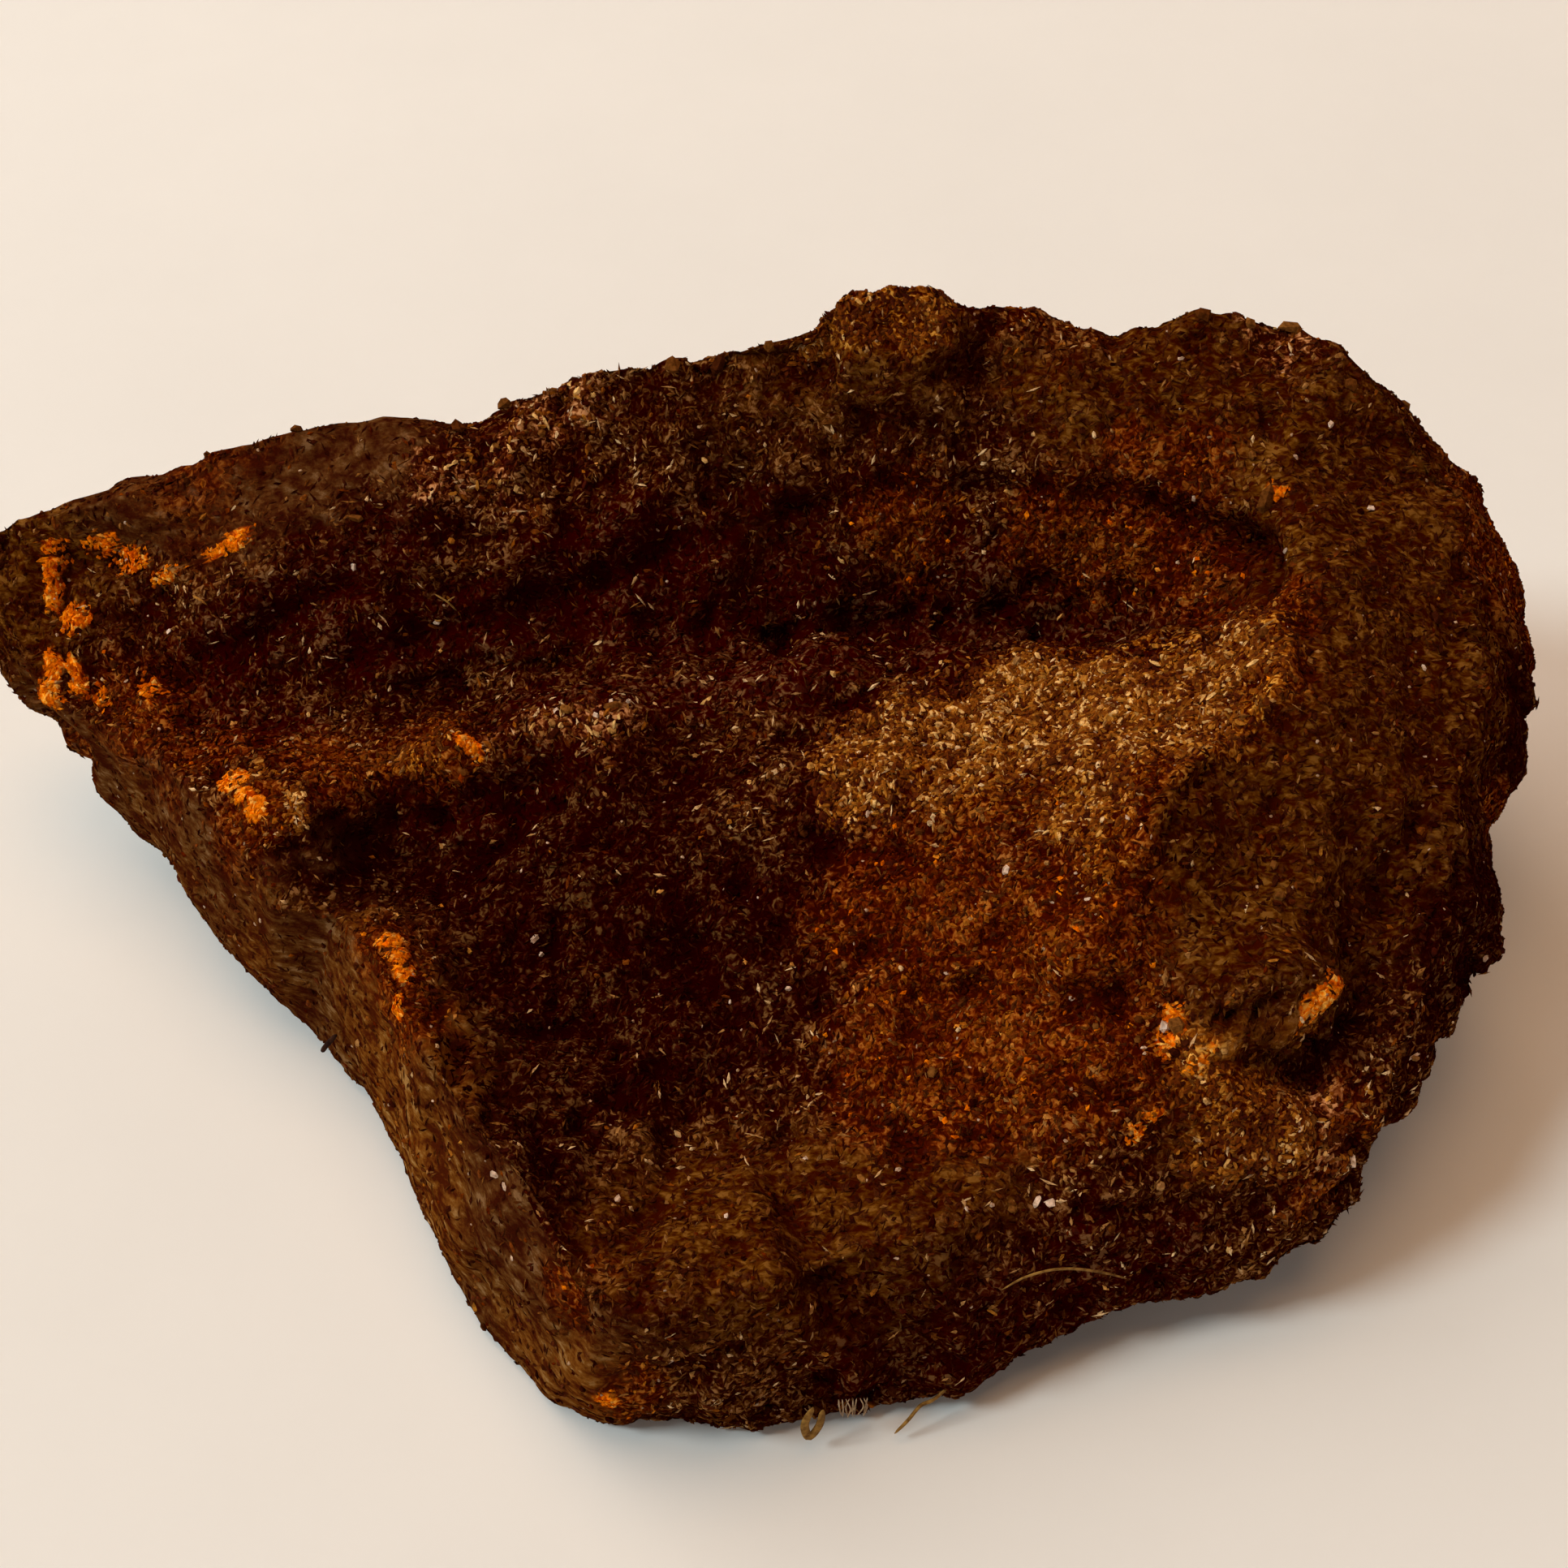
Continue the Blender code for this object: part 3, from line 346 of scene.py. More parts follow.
FINE_LUMPS = ((2.3, 0.24, 31), (1.2, 0.17, 32), (0.8, 0.10, 33))
RIDGES = ((3.0, 0.30, 34), (1.5, 0.20, 35))   # sharp creases between round ridges
GRANULE = 1.0                # spacing of the granules that the skin itself carries
GRANULE_HEIGHT = 0.17
GRANULE_SEED = 61
GRANULE_PUSH = ((0.8, 0.25),)
GRANULE_PUSH_SEED = 400
HOLLOW_SIZE = 2.6
HOLLOW_SEED = 63
HOLLOW_EDGE = (0.42, 0.72)
HOLLOW_DEPTH = 0.7
FILLED_HOLLOWS = 0.7         # share of a hollow's depth that loose ochre sand fills
BED_SPACING = 1.6            # thickness of the ore's thin beds, seen as streaks on the smooth faces
BED_HEIGHT = 0.03
BED_DIP = 0.06
BED_BENDS = ((9.0, 1.0, 51), (2.5, 0.45, 52))
OLIVE_BEDS = 0.5             # how strongly the beds show on olive ore
CRUST_HEIGHT = 0.2           # thickness of the orange crusts
CRUST_COVERS = 0.7           # share of the fine relief that a crust hides
SMOOTH_LOSS = 0.72           # share of the fine relief that the smooth grey and tan faces lack
OLIVE_LOSS = 0.35
RUST_LOSS = 0.3
BASE_EDGE = (0.0, 1.2)       # height over which the fine relief dies away to the flat base
RELIEF_SHADE_MIDDLE = 0.05           # relief painted neither darker nor paler
RELIEF_SHADE_REACH = 1.5             # relief over which the painted shade runs from darkest to palest
RELIEF_SHADE_SCORES = 0.6            # how much a crack or a ledge counts in it: cracks painted darker, ledges paler

# Cracks, slots and thin ledges, as a line of (x, y, z), half width and height, below zero for a cut.
SCORES = (
    (((25.5, 13.9, 29.9), (27.2, 13.0, 29.5), (29.4, 11.8, 29.4), (31.2, 10.9, 30.0), (32.4, 9.8, 30.4),
      (32.6, 8.0, 30.2), (32.0, 6.0, 29.8)), 0.9, -2.0),
    (((-0.9, 16.1, 27.4), (3.0, 15.9, 28.3), (7.6, 16.4, 29.1), (12.8, 16.6, 29.2), (17.7, 15.6, 29.9),
      (22.2, 15.2, 30.3)), 0.7, -0.8),
    (((-26.9, 9.8, 21.0), (-23.4, 10.3, 21.7), (-19.9, 10.8, 22.2), (-17.1, 12.0, 22.6), (-14.2, 12.6, 23.2),
      (-11.3, 13.2, 24.1), (-8.4, 14.2, 25.0), (-3.8, 15.2, 26.3)), 1.3, -0.9),
    (((-42.8, 8.5, 18.1), (-39.7, 9.6, 20.2), (-36.6, 10.4, 21.8), (-33.9, 11.2, 23.1), (-31.2, 11.8, 24.6)),
     1.3, -0.8),
    (((-29.3, -4.6, 16.4), (-26.5, -3.2, 16.6), (-23.0, -2.5, 16.8), (-19.5, -2.4, 17.4),
      (-16.5, -1.2, 18.8)), 1.3, -0.9),
    (((31.8, -2.5, 30.9), (31.2, -4.5, 30.5), (28.5, -6.5, 30.0), (26.3, -8.2, 29.5), (24.2, -10.2, 28.4),
      (23.2, -12.0, 27.4), (21.8, -13.8, 26.2)), 0.6, 0.7),
    (((26.7, -22.4, 20.8), (28.2, -22.1, 21.0), (29.7, -21.8, 21.3), (30.6, -21.3, 21.6)), 0.36, -1.4),
    (((24.7, -24.1, 19.6), (25.7, -23.4, 20.0), (27.4, -23.2, 20.1), (29.6, -22.8, 20.2), (32.0, -22.0, 20.2),
      (33.4, -20.9, 20.4), (34.2, -19.4, 21.2)), 0.75, 0.7),
    (((30.2, -23.6, 18.0), (32.4, -23.0, 17.4), (34.8, -22.2, 17.2), (37.0, -20.2, 17.6)), 0.8, -1.0),
    (((37.2, -13.5, 21.0), (37.6, -16.0, 19.8), (37.2, -18.4, 18.8)), 0.6, -1.0),
    (((40.6, -8.0, 24.0), (41.0, -9.8, 23.0)), 0.6, -0.9),
    (((-14.2, -29.5, 15.0), (-13.4, -31.6, 15.0), (-13.0, -33.4, 15.1), (-12.6, -35.1, 15.3)), 0.4, -0.8),
    (((-46.5, 3.7, 14.4), (-45.6, 2.8, 14.0)), 0.7, -0.9),
    (((-9.2, -40.2, 0.2), (-8.6, -40.2, 1.2), (-7.6, -40.2, 1.0), (-7.0, -40.2, 0.3)), 0.7, -1.2),
)

# ---- Grains -------------------------------------------------------------------------------------

# Kinds of grain that are strewn. Each has a count, the rings and sides of its form, its usual length,
# width and height, the seed of its draws, its sideways bend and how much paler than its ground it is.
GRAIN_KINDS = {
    "fine_ore_grains": dict(count=32000, form=(1, 3), size=(0.78, 0.19, 0.17), seed=71, bend=0.6),
    "coarse_ore_grains": dict(count=24500, form=(1, 4), size=(0.64, 0.29, 0.22), seed=72),
    "ochre_sand": dict(count=8500, form=(2, 4), size=(0.62, 0.34, 0.28), seed=73, bend=0.45, gain=1.05),
    "rust_grains": dict(count=15000, form=(1, 4), size=(0.54, 0.3, 0.26), seed=74),
    "orange_crust_crumbs": dict(count=1500, form=(1, 4), size=(0.5, 0.4, 0.14), seed=75, bend=0.1, gain=1.4),
}
GRAIN_LIFT = 0.04            # share of its height that a grain's middle lies over the skin
GRAIN_SPREAD = 0.22          # spread of the logarithm of a grain's sizes
GRAIN_ROUGHNESS = 0.16       # how far a grain's corners stray, in half sizes
BEND_MIDDLE = 0.4            # squared place along a grain that its bend leaves alone
GRAIN_TILT = 0.32
MOST_TILT = 1.2
FLOW_PULL = 1.0              # how strongly the grains lie down the slopes
SLOPE_PULL = 1.5
PLATE_EDGE = (30.0, 36.0)    # right of these, grains lie along the plate's beds instead
PLATE_FLOW = (0.85, 0.5, 0.0)
CLEAR_EDGE = (0.25, 0.9)     # height over which the grains thin out above the base
FAR_EDGE = (26.0, 29.0)      # how far back the ore grains thin out
FAR_LOSS = 0.45
BARE_SMOOTH = 0.8            # share of the ore grains that the smooth grey and tan faces lack
BARE_OLIVE = 0.35
BARE_STAINED = 0.6
BARE_CRUST = 0.8
BARE_DARK = 0.6              # share of the coarse grains missing where the dark and maroon painted shade lies

CHIP_COUNT = 1500
CHIP_DRAW_SEED = 77
CHIP_LENGTH = 0.65
CHIP_SPREAD = 0.28           # spread of the logarithm of a chip's length
CHIP_LIFT = 0.15
CHIP_BEND = 0.2
CHIP_BARE = 0.85             # share of the chips that the smooth grey and tan faces lack
CHIP_GAIN = 0.1
CHIP_STRAY = 0.42            # how far a chip's paleness strays from the ground it lies on
SHOWN_CHIP_GAIN = 1.5

QUARTZ_COUNT = 800
QUARTZ_DRAW_SEED = 76
QUARTZ_LENGTHS = (0.22, 0.42)
QUARTZ_BEND = 0.8
QUARTZ_SHOWN_SHADES = (0.7, 1.0)
QUARTZ_SMALL_SHADES = (0.0, 0.7)

# Loose chips on the crest and the edges, as (x, y, z, length).
LOOSE_CHIPS = (
    (-22.9, 20.6, 31.5, 1.6), (-19.7, 21.8, 32.3, 2.0), (-16.3, 22.3, 33.0, 1.8), (-12.9, 22.4, 34.2, 1.6),
    (-7.7, 22.6, 35.4, 2.2), (-4.9, 22.8, 36.5, 1.8), (-1.0, 23.2, 37.8, 1.5), (29.0, 24.6, 37.9, 1.6),
    (32.4, 24.5, 37.5, 1.4), (35.3, 24.3, 37.0, 1.9), (46.6, 15.5, 29.9, 1.3), (49.5, 15.6, 27.4, 1.3),
    (33.0, 12.5, 32.2, 2.2), (31.9, 15.5, 33.2, 1.4), (39.1, 20.9, 35.0, 1.5), (34.0, -18.4, 21.9, 1.8),
    (24.2, -22.2, 20.4, 1.7), (-14.8, 2.3, 21.9, 1.3), (-11.9, 2.2, 22.2, 1.4), (-3.4, -40.0, 2.7, 1.2),
    (1.7, -39.6, 1.9, 1.2), (6.9, -38.6, 2.6, 1.2), (-41.0, 20.3, 28.8, 1.5), (-34.5, 20.8, 30.4, 1.4),
)

# Quartz grains that stand out, as (x, y, z, length).
SHOWN_QUARTZ = (
    (11.1, -31.9, 14.5, 0.9), (12.7, -31.6, 14.3, 0.7), (15.5, -30.8, 13.5, 1.3), (16.4, -30.9, 13.4, 0.9),
    (35.8, -27.2, 12.2, 1.1), (35.6, -27.7, 11.5, 0.9), (-17.2, -30.7, 14.9, 0.8), (-18.1, -29.5, 14.5, 0.9),
    (-6.7, -39.5, 9.9, 0.8), (0.2, -16.9, 16.2, 0.9), (-30.5, 12.5, 25.5, 0.7), (-24.8, 10.6, 21.8, 0.7),
    (23.6, -22.3, 20.0, 1.0), (17.8, -20.7, 20.7, 0.6), (-10.9, 2.8, 21.9, 0.8), (-12.5, 1.9, 21.9, 0.9),
    (-11.8, 2.3, 22.0, 0.8), (-15.4, 2.2, 21.6, 0.8), (5.6, -6.6, 21.9, 0.7), (18.0, -8.3, 24.7, 0.7),
    (21.5, -11.6, 27.2, 0.6), (14.2, -12.1, 22.8, 0.7), (17.0, -15.4, 23.7, 0.6), (18.9, -15.9, 24.5, 0.6),
    (31.8, -27.2, 16.1, 0.7), (7.2, -29.2, 14.6, 0.6), (-8.4, -40.1, 4.2, 0.8), (-10.3, -30.9, 13.6, 0.7),
    (-43.9, 11.0, 20.5, 0.7), (10.3, -17.2, 18.5, 0.6), (1.2, -28.0, 13.6, 0.6), (22.2, -23.6, 19.8, 0.7),
    (40.4, -20.7, 14.4, 0.8), (37.7, 17.9, 33.8, 0.8), (28.1, 13.7, 30.6, 0.8), (33.1, 8.1, 31.2, 0.6),
    (40.2, 12.9, 31.0, 0.7), (47.3, -12.0, 13.0, 0.8), (35.2, 15.7, 33.2, 0.6), (27.3, 22.0, 36.5, 0.6),
    (-3.3, -32.5, 14.3, 0.9), (-16.3, -11.8, 15.0, 0.9), (-15.8, -12.3, 15.0, 0.8), (42.5, 1.6, 27.1, 0.6),
)

# ---- Dry plant bits, as lines of (x, y, z) ------------------------------------------------------

STRAW = ((13.3, -35.6, 11.2), (14.6, -35.2, 12.0), (16.2, -34.8, 12.2), (17.8, -34.4, 11.6),
         (19.6, -34.0, 10.4), (21.4, -33.6, 8.8))
HUSK = ((1.8, -40.2, 4.6), (1.3, -40.7, 3.2), (1.6, -40.8, 1.6), (2.2, -40.5, 2.6), (2.4, -40.2, 4.2))
ROOTLET = ((10.4, -38.3, 3.4), (9.4, -38.9, 2.8), (8.6, -39.2, 2.6), (7.8, -39.8, 1.7), (7.0, -40.3, 0.9))
FORK = ((-24.6, 11.6, 23.8), (-23.8, 11.3, 23.4), (-23.2, 11.2, 22.6))
FORK_TWIG = ((-23.8, 11.3, 23.4), (-23.2, 11.4, 23.8))
THORN = ((-30.9, -14.0, 6.6), (-31.7, -14.3, 5.7), (-32.1, -14.4, 5.0))
FRINGE_START = np.array((3.4, -39.6, 4.4))
FRINGE_END = np.array((5.2, -39.4, 4.2))
FRINGE_HAIRS = 9
FRINGE_LENGTH = 1.7
FRINGE_RADIUS = 0.05
FRINGE_BOW = 0.35
PLANT_SEED = 78

# ---- Colours ------------------------------------------------------------------------------------

ROUGH = 1.0                  # broken, earthy ore scatters light evenly and has no gloss
NO_GLOSS = 0.0
MINERAL_IOR = 1.5
FLECK_STOPS = (0.40, 0.46, 0.52, 0.59, 0.67)   # where a fleck noise turns from gap to ground to highlight

# Patterns of the skin's ore, as the width of a fleck in millimetres, the noise's detail, roughness and
# distortion, the turn in degrees and the stretch that make streaks of it, and the pull of the mottle.
ORE_PATTERNS = {
    "flecks": (0.5, 2.0, 0.6, 0.9, (0.0, 0.0, 0.0), (1.0, 1.0, 1.0), 0.35),
    "bedded": (1.3, 4.0, 0.7, 0.0, (0.0, 4.0, 0.0), (0.75, 0.75, 1.6), 0.3),
    "combed": (0.55, 2.5, 0.6, 0.5, (0.0, 0.0, -32.0), (0.7, 1.3, 1.1), 0.4),
}
MOTTLE_WIDTH = 2.6
MOTTLE_DETAIL = 2.0
MOTTLE_PULL = 0.6
BUMP_STRENGTH = 0.6
BUMP_HEIGHT = 0.14           # grit finer than the mesh; every shape that shows is in the mesh itself

# The skin's colours in each stain, from the gaps between the flecks to the highlights.
ORE_COLOURS = {
    "ground": ("flecks", ("#240000", "#2a0400", "#3e1805", "#603816", "#8c6038")),
    "dark": ("flecks", ("#1c0000", "#200000", "#280400", "#381607", "#583a1c")),
    "maroon": ("flecks", ("#2c0000", "#2e0000", "#340400", "#44180a", "#644026")),
    "olive": ("combed", ("#340900", "#401701", "#4e2603", "#5f3508", "#7a4e1c")),
    "grey": ("bedded", ("#320e04", "#3e1a08", "#4a260e", "#583618", "#745234")),
    "tan": ("bedded", ("#4a1a06", "#602e0a", "#764210", "#88541c", "#a47840")),
    "rust": ("flecks", ("#380800", "#4a1000", "#642203", "#7e380a", "#a05c1c")),
    "ochre": ("flecks", ("#300400", "#501a00", "#783a04", "#a46014", "#d8983e")),
    "pale": ("flecks", ("#2c0400", "#401204", "#663012", "#9c5c30", "#de9c68")),
    "orange": ("flecks", ("#983000", "#d05000", "#f46e04", "#fe8e10", "#ffb448")),
}

# Colours of the grains by their paleness.
BROWN_GRAINS = (
    (0.0, "#260000"), (0.15, "#2c0602"), (0.3, "#441a0a"), (0.45, "#643410"), (0.6, "#905c28"),
    (0.75, "#b8844c"), (1.0, "#f4cc98"),
)
OCHRE_GRAINS = (
    (0.0, "#300400"), (0.2, "#481202"), (0.4, "#703204"), (0.6, "#985410"), (0.8, "#c4822c"),
    (1.0, "#f6c278"),
)
RUSTY_GRAINS = (
    (0.0, "#280000"), (0.15, "#340500"), (0.3, "#581a01"), (0.45, "#823a06"), (0.65, "#b46818"),
    (1.0, "#eca858"),
)
ORANGE_GRAINS = ((0.0, "#a83200"), (0.4, "#e46a02"), (0.7, "#fa8e12"), (1.0, "#ffbc58"))
QUARTZ_GRAINS = ((0.0, "#a07850"), (0.5, "#c89c78"), (1.0, "#f0d0b8"))
GRAIN_MOTTLE = ((0.35, "#b0a8a0"), (0.65, "#ffffff"))
GRAIN_MOTTLE_WIDTH = 0.3
PATCH_STOPS = (0.35, 0.65)
PATCH_DETAIL = 3.0
PATCH_ROUGHNESS = 0.6

# ---- Floor, lamps and camera --------------------------------------------------------------------

FLOOR_DROP = 0.02            # the paper lies this far under the resting face, so the two don't touch
FLOOR_REACH = 1200.0         # where the paper starts to curve up
FLOOR_CURVE = 400.0          # radius of the curve
FLOOR_WALL = (500.0, 900.0)  # heights of the upright part
FLOOR_SIDES = 48
FLOOR_ROWS = (7, 12, 3)      # rows on the flat, on the curve and on the upright part
CURVE_SPAN = (0.1, 1.57)
PAPER_PATCH = 30.0

# Round lamps, as name, watts, colour, width, distance, elevation and bearing, which runs anticlockwise
# from the right. Widths and distances are in metres.
LAMPS = (
    ("window_light", 18.4, "#eeffff", 0.52, 2.0, 46.0, 190.0),
    ("warm_room_lamp", 6.4, "#ffc894", 1.0, 1.4, 80.0, 90.0),
    ("soft_back_light", 7.8, "#fff4e6", 1.2, 1.4, 45.0, 140.0),
)
FILL_COLOUR = "#ffa878"
FILL_STRENGTH = 0.05
CAMERA_PLACE = np.array((0.0, -97.4, 132.9))
CAMERA_DIP = 50.0
LENS = 50.0
SENSOR_WIDTH = 36.0
NEAREST_SHOWN = 0.01


# ---- Form ---------------------------------------------------------------------------------------

def read_outline(stations, angles):
    """Return an outline's points at the given bearings, straight from each station to the next."""
    stations = np.array(stations)
    offset = (stations[:, :2] - HUB) / (HALF_WIDTH, HALF_DEPTH)
    known = np.arctan2(offset[:, 1], offset[:, 0])
    columns = [np.interp(angles, known, values, period=2.0 * math.pi) for values in stations.T]
    return np.stack(columns, axis=1)


def relief_through(spots):
    """Return a function of plan points: the sum of multiquadrics that passes through the spots."""
    centres = spots[:, :2]

    def swell(points):
        gap = points[:, None, :] - centres[None, :, :]
        return np.sqrt((gap ** 2).sum(axis=2) + RELIEF_ROUNDING ** 2)

    weights = np.linalg.solve(swell(centres), spots[:, 2])
    return lambda plan: swell(plan) @ weights


def shape_top(angles, reach):
    """Upper relief: a bearing and a share of the way to the rim, raised to the relief's height there.

    What the relief misses at the rim is added with a high power of the share, so it closes on the rim.
    """
    height_at = relief_through(np.array(RIM + tuple(itertools.chain.from_iterable(SPOT_GROUPS))))
    rim = read_outline(RIM, angles)
    plan = HUB + reach[:, None] * (rim[:, :2] - HUB)
    miss = rim[:, 2] - height_at(rim[:, :2])
    return np.column_stack((plan, height_at(plan) + miss * reach ** RIM_PULL))


def shape_side(angles, climb):
    """Sides: at each bearing, foot to belly to rim by length as climb goes 0 to 1, with a sine swell."""
    foot = np.column_stack((read_outline(FOOT, angles), np.zeros(len(angles))))
    belly = read_outline(BELLY, angles)
    rim = read_outline(RIM, angles)
    lower = np.linalg.norm(belly - foot, axis=1)
    upper = np.linalg.norm(rim - belly, axis=1)
    travelled = climb * (lower + upper)
    low_share = np.clip(travelled / lower, 0.0, 1.0)
    high_share = np.clip((travelled - lower) / upper, 0.0, 1.0)
    points = foot + low_share[:, None] * (belly - foot) + high_share[:, None] * (rim - belly)
    swell = SIDE_BULGE * (upper * np.sin(math.pi * high_share) + lower * np.sin(math.pi * low_share))
    outward = (belly[:, :2] - HUB) / np.linalg.norm(belly[:, :2] - HUB, axis=1)[:, None]
    points[:, :2] += swell[:, None] * outward
    return points


def quads_of(index):
    """Return the quads between neighbouring rows and columns of a table of point numbers."""
    return np.stack((index[:-1, :-1], index[:-1, 1:], index[1:, 1:], index[1:, :-1]), axis=-1).reshape(-1, 4)


def make_main_form():
    """Return the skin's smooth points, its quads and its base triangles.

    The top is a square grid carried onto a disc of bearings and reaches. The sides hang rows of points
    from the grid's border down to the foot, and a fan closes the base.
    """
    across, along = np.meshgrid(np.linspace(-1.0, 1.0, TOP_COLUMNS + 1), np.linspace(-1.0, 1.0, TOP_ROWS + 1))
    round_across = across * np.sqrt(1.0 - along ** 2 / 2.0)
    round_along = along * np.sqrt(1.0 - across ** 2 / 2.0)
    angles = np.arctan2(round_along, round_across)
    top = shape_top(angles.ravel(), np.hypot(round_across, round_along).ravel())

    grid = np.arange(angles.size).reshape(angles.shape)
    border = np.concatenate((grid[0, :-1], grid[:-1, -1], grid[-1, :0:-1], grid[:0:-1, 0]))
    climbs = np.repeat(1.0 - np.arange(1, SIDE_ROWS + 1) / SIDE_ROWS, len(border))
    sides = shape_side(np.tile(angles.ravel()[border], SIDE_ROWS), climbs)

    wall = np.vstack((border, grid.size + np.arange(len(sides)).reshape(SIDE_ROWS, -1)))
    wall = np.column_stack((wall, wall[:, 0]))
    middle = grid.size + len(sides)
    points = np.vstack((top, sides, (HUB[0], HUB[1], 0.0)))
    quads = np.vstack((quads_of(grid), quads_of(wall)[:, ::-1]))
    fan = np.column_stack((np.full(len(border), middle), wall[-1, 1:], wall[-1, :-1]))
    return points, quads, fan


def split_quads(quads, triangles):
    """Return the quads, halved, and the triangles in one table."""
    return np.vstack((quads[:, (0, 1, 2)], quads[:, (0, 2, 3)], triangles))


def face_crosses(points, triangles):
    """Return each triangle's normal, as long as twice its area."""
    first, second, third = (points[triangles[:, corner]] for corner in range(3))
    return np.cross(second - first, third - first)


def point_normals(points, triangles):
    """Return unit normals: the sum of the crosses of the triangles round each point."""
    crosses = face_crosses(points, triangles)
    total = np.stack([
        sum(np.bincount(triangles[:, corner], crosses[:, axis], len(points)) for corner in range(3))
        for axis in range(3)
    ], axis=1)
    return total / np.linalg.norm(total, axis=1)[:, None]


# ---- Random relief ------------------------------------------------------------------------------

def lattice_index(corners):
    """Return the place of each lattice corner in a table of random values."""
    mixed = corners * LATTICE_STEPS
    return (mixed[..., 0] ^ mixed[..., 1] ^ mixed[..., 2]) % LATTICE_VALUES


def lump_height(points, size, seed):
    """Smooth random swells between -1 and 1: lattice values blended by smoothstep weights."""
    values = np.random.default_rng(seed).uniform(-1.0, 1.0, LATTICE_VALUES)
    corner = np.floor(points / size).astype(np.int64)
    part = points / size - corner
    part = part * part * (3.0 - 2.0 * part)
    height = np.zeros(len(points))
    for step in itertools.product((0, 1), repeat=3):
        weight = np.where(step, part, 1.0 - part).prod(axis=1)
        height += weight * values[lattice_index(corner + step)]
    return height


def sum_of_lumps(points, layers):
    """Return the sum of several sizes of swells, each as (size, height, seed)."""
    return sum(height * lump_height(points, size, seed) for size, height, seed in layers)


def chip_height(points):
    """Flat chips: each point lies on the tilted plane of its nearest centre, blended at the edges."""
    random = np.random.default_rng(CHIP_SEED)
    shift = random.uniform(0.0, 1.0, (LATTICE_VALUES, 3))
    tilt = random.uniform(-CHIP_TILT, CHIP_TILT, (LATTICE_VALUES, 3))
    corner = np.floor(points / CHIP_SIZE).astype(np.int64)
    distances = []
    planes = []
    for step in itertools.product((-1, 0, 1), repeat=3):
        index = lattice_index(corner + step)
        gap = points - (corner + step + shift[index]) * CHIP_SIZE
        distances.append(np.linalg.norm(gap, axis=1))
        planes.append((gap * tilt[index]).sum(axis=1))
    distances = np.array(distances)
    hold = np.exp((distances.min(axis=0) - distances) / CHIP_EDGE)
    return (hold * planes).sum(axis=0) / hold.sum(axis=0)


def nearest_site(points, spacing, seed):
    """Return the distance to the nearest random site, in spacings."""
    shift = np.random.default_rng(seed).uniform(0.0, 1.0, (LATTICE_VALUES, 3))
    corner = np.floor(points / spacing).astype(np.int64)
    nearest = np.full(len(points), np.inf)
    for step in itertools.product((-1, 0, 1), repeat=3):
        site = corner + step + shift[lattice_index(corner + step)]
        nearest = np.minimum(nearest, np.linalg.norm(points / spacing - site, axis=1))
    return nearest


def fade(values, low, high):
    """Return 0 below low, 1 above high and a smoothstep between them."""
    part = np.clip((values - low) / (high - low), 0.0, 1.0)
    return part * part * (3.0 - 2.0 * part)


def liveliness(points):
    """Return how much of the lumps each point gets: less on smooth faces and next to the base."""
    share = np.clip(points[:, 2] / QUIET_BASE, 0.0, 1.0)
    for middle, radius, loss in SMOOTH_FACES:
        distance = np.linalg.norm(points - middle, axis=1)
        share *= 1.0 - loss * np.exp(-(distance / radius) ** 2)
    return share


def bell_sum(points, patches, most=False):
    """Return the sum, or the largest, of bells round the patches."""
    bells = [np.exp(-(((points - (x, y, z)) * (1.0, 1.0, FLAT_LOOK)) ** 2).sum(axis=1) / radius ** 2)
             for x, y, z, radius in patches]
    return np.maximum.reduce(bells) if most else sum(bells)


def push_about(points, layers, seed):
    """Return the points moved by smooth noise of their own along each axis."""
    moves = [sum(reach * lump_height(points, size, seed + 10 * axis + layer)
                 for layer, (size, reach) in enumerate(layers)) for axis in range(3)]
    return points + np.stack(moves, axis=1)


def stain_shares(points, normals):
    """Return each stain's share at each point, weighed against the others and the plain ground.

    The patches are looked up from points pushed about by noise, so their borders fray into each other.
    Orange crusts lie on top with a crisp edge.
    """
    pushed = push_about(points, STAIN_PUSH, STAIN_PUSH_SEED)
    weights = {name: bell_sum(pushed, patches) ** STAIN_SHARPNESS for name, patches in STAINS.items()}
    low_left = (points[:, 0] < LOW_LEFT[0]) & (points[:, 2] < LOW_LEFT[1])
    weights["grey"] *= np.where(low_left, 1.0 - fade(normals[:, 2], *GREY_SLOPES), 1.0)
    weights["pale"] *= fade(lump_height(points, *PALE_BREAKS), *PALE_BREAK_EDGE)
    weights["ground"] = np.full(len(points), GROUND_WEIGHT ** STAIN_SHARPNESS)
    total = sum(weights.values())
    shares = {name: weight / total for name, weight in weights.items()}
    crust = bell_sum(points, ORANGE, most=True)
    crust += np.where(crust > CRUST_TRACE, sum_of_lumps(points, CRUST_WOBBLE), 0.0)
    shares["orange"] = fade(crust, *CRUST_EDGE)
    return shares


def score_height(points):
    """Return how the cracks and ledges cut or raise each point: a bell across the nearest stretch."""
    total = np.zeros(len(points))
    for line, half_width, height in SCORES:
        nearest = np.full(len(points), np.inf)
        for start, end in itertools.pairwise(np.array(line)):
            along = np.clip((points - start) @ (end - start) / ((end - start) ** 2).sum(), 0.0, 1.0)
            gap = np.linalg.norm(points - start - along[:, None] * (end - start), axis=1)
            nearest = np.minimum(nearest, gap)
        total += height * np.exp(-(nearest / half_width) ** 2)
    return total


def bed_height(points):
    """Thin beds: a triangle wave up the stone, dipping to the right and bent by broad swells."""
    level = points[:, 2] - BED_DIP * points[:, 0] + sum_of_lumps(points, BED_BENDS)
    return BED_HEIGHT * (4.0 * np.abs(level / BED_SPACING % 1.0 - 0.5) - 1.0)


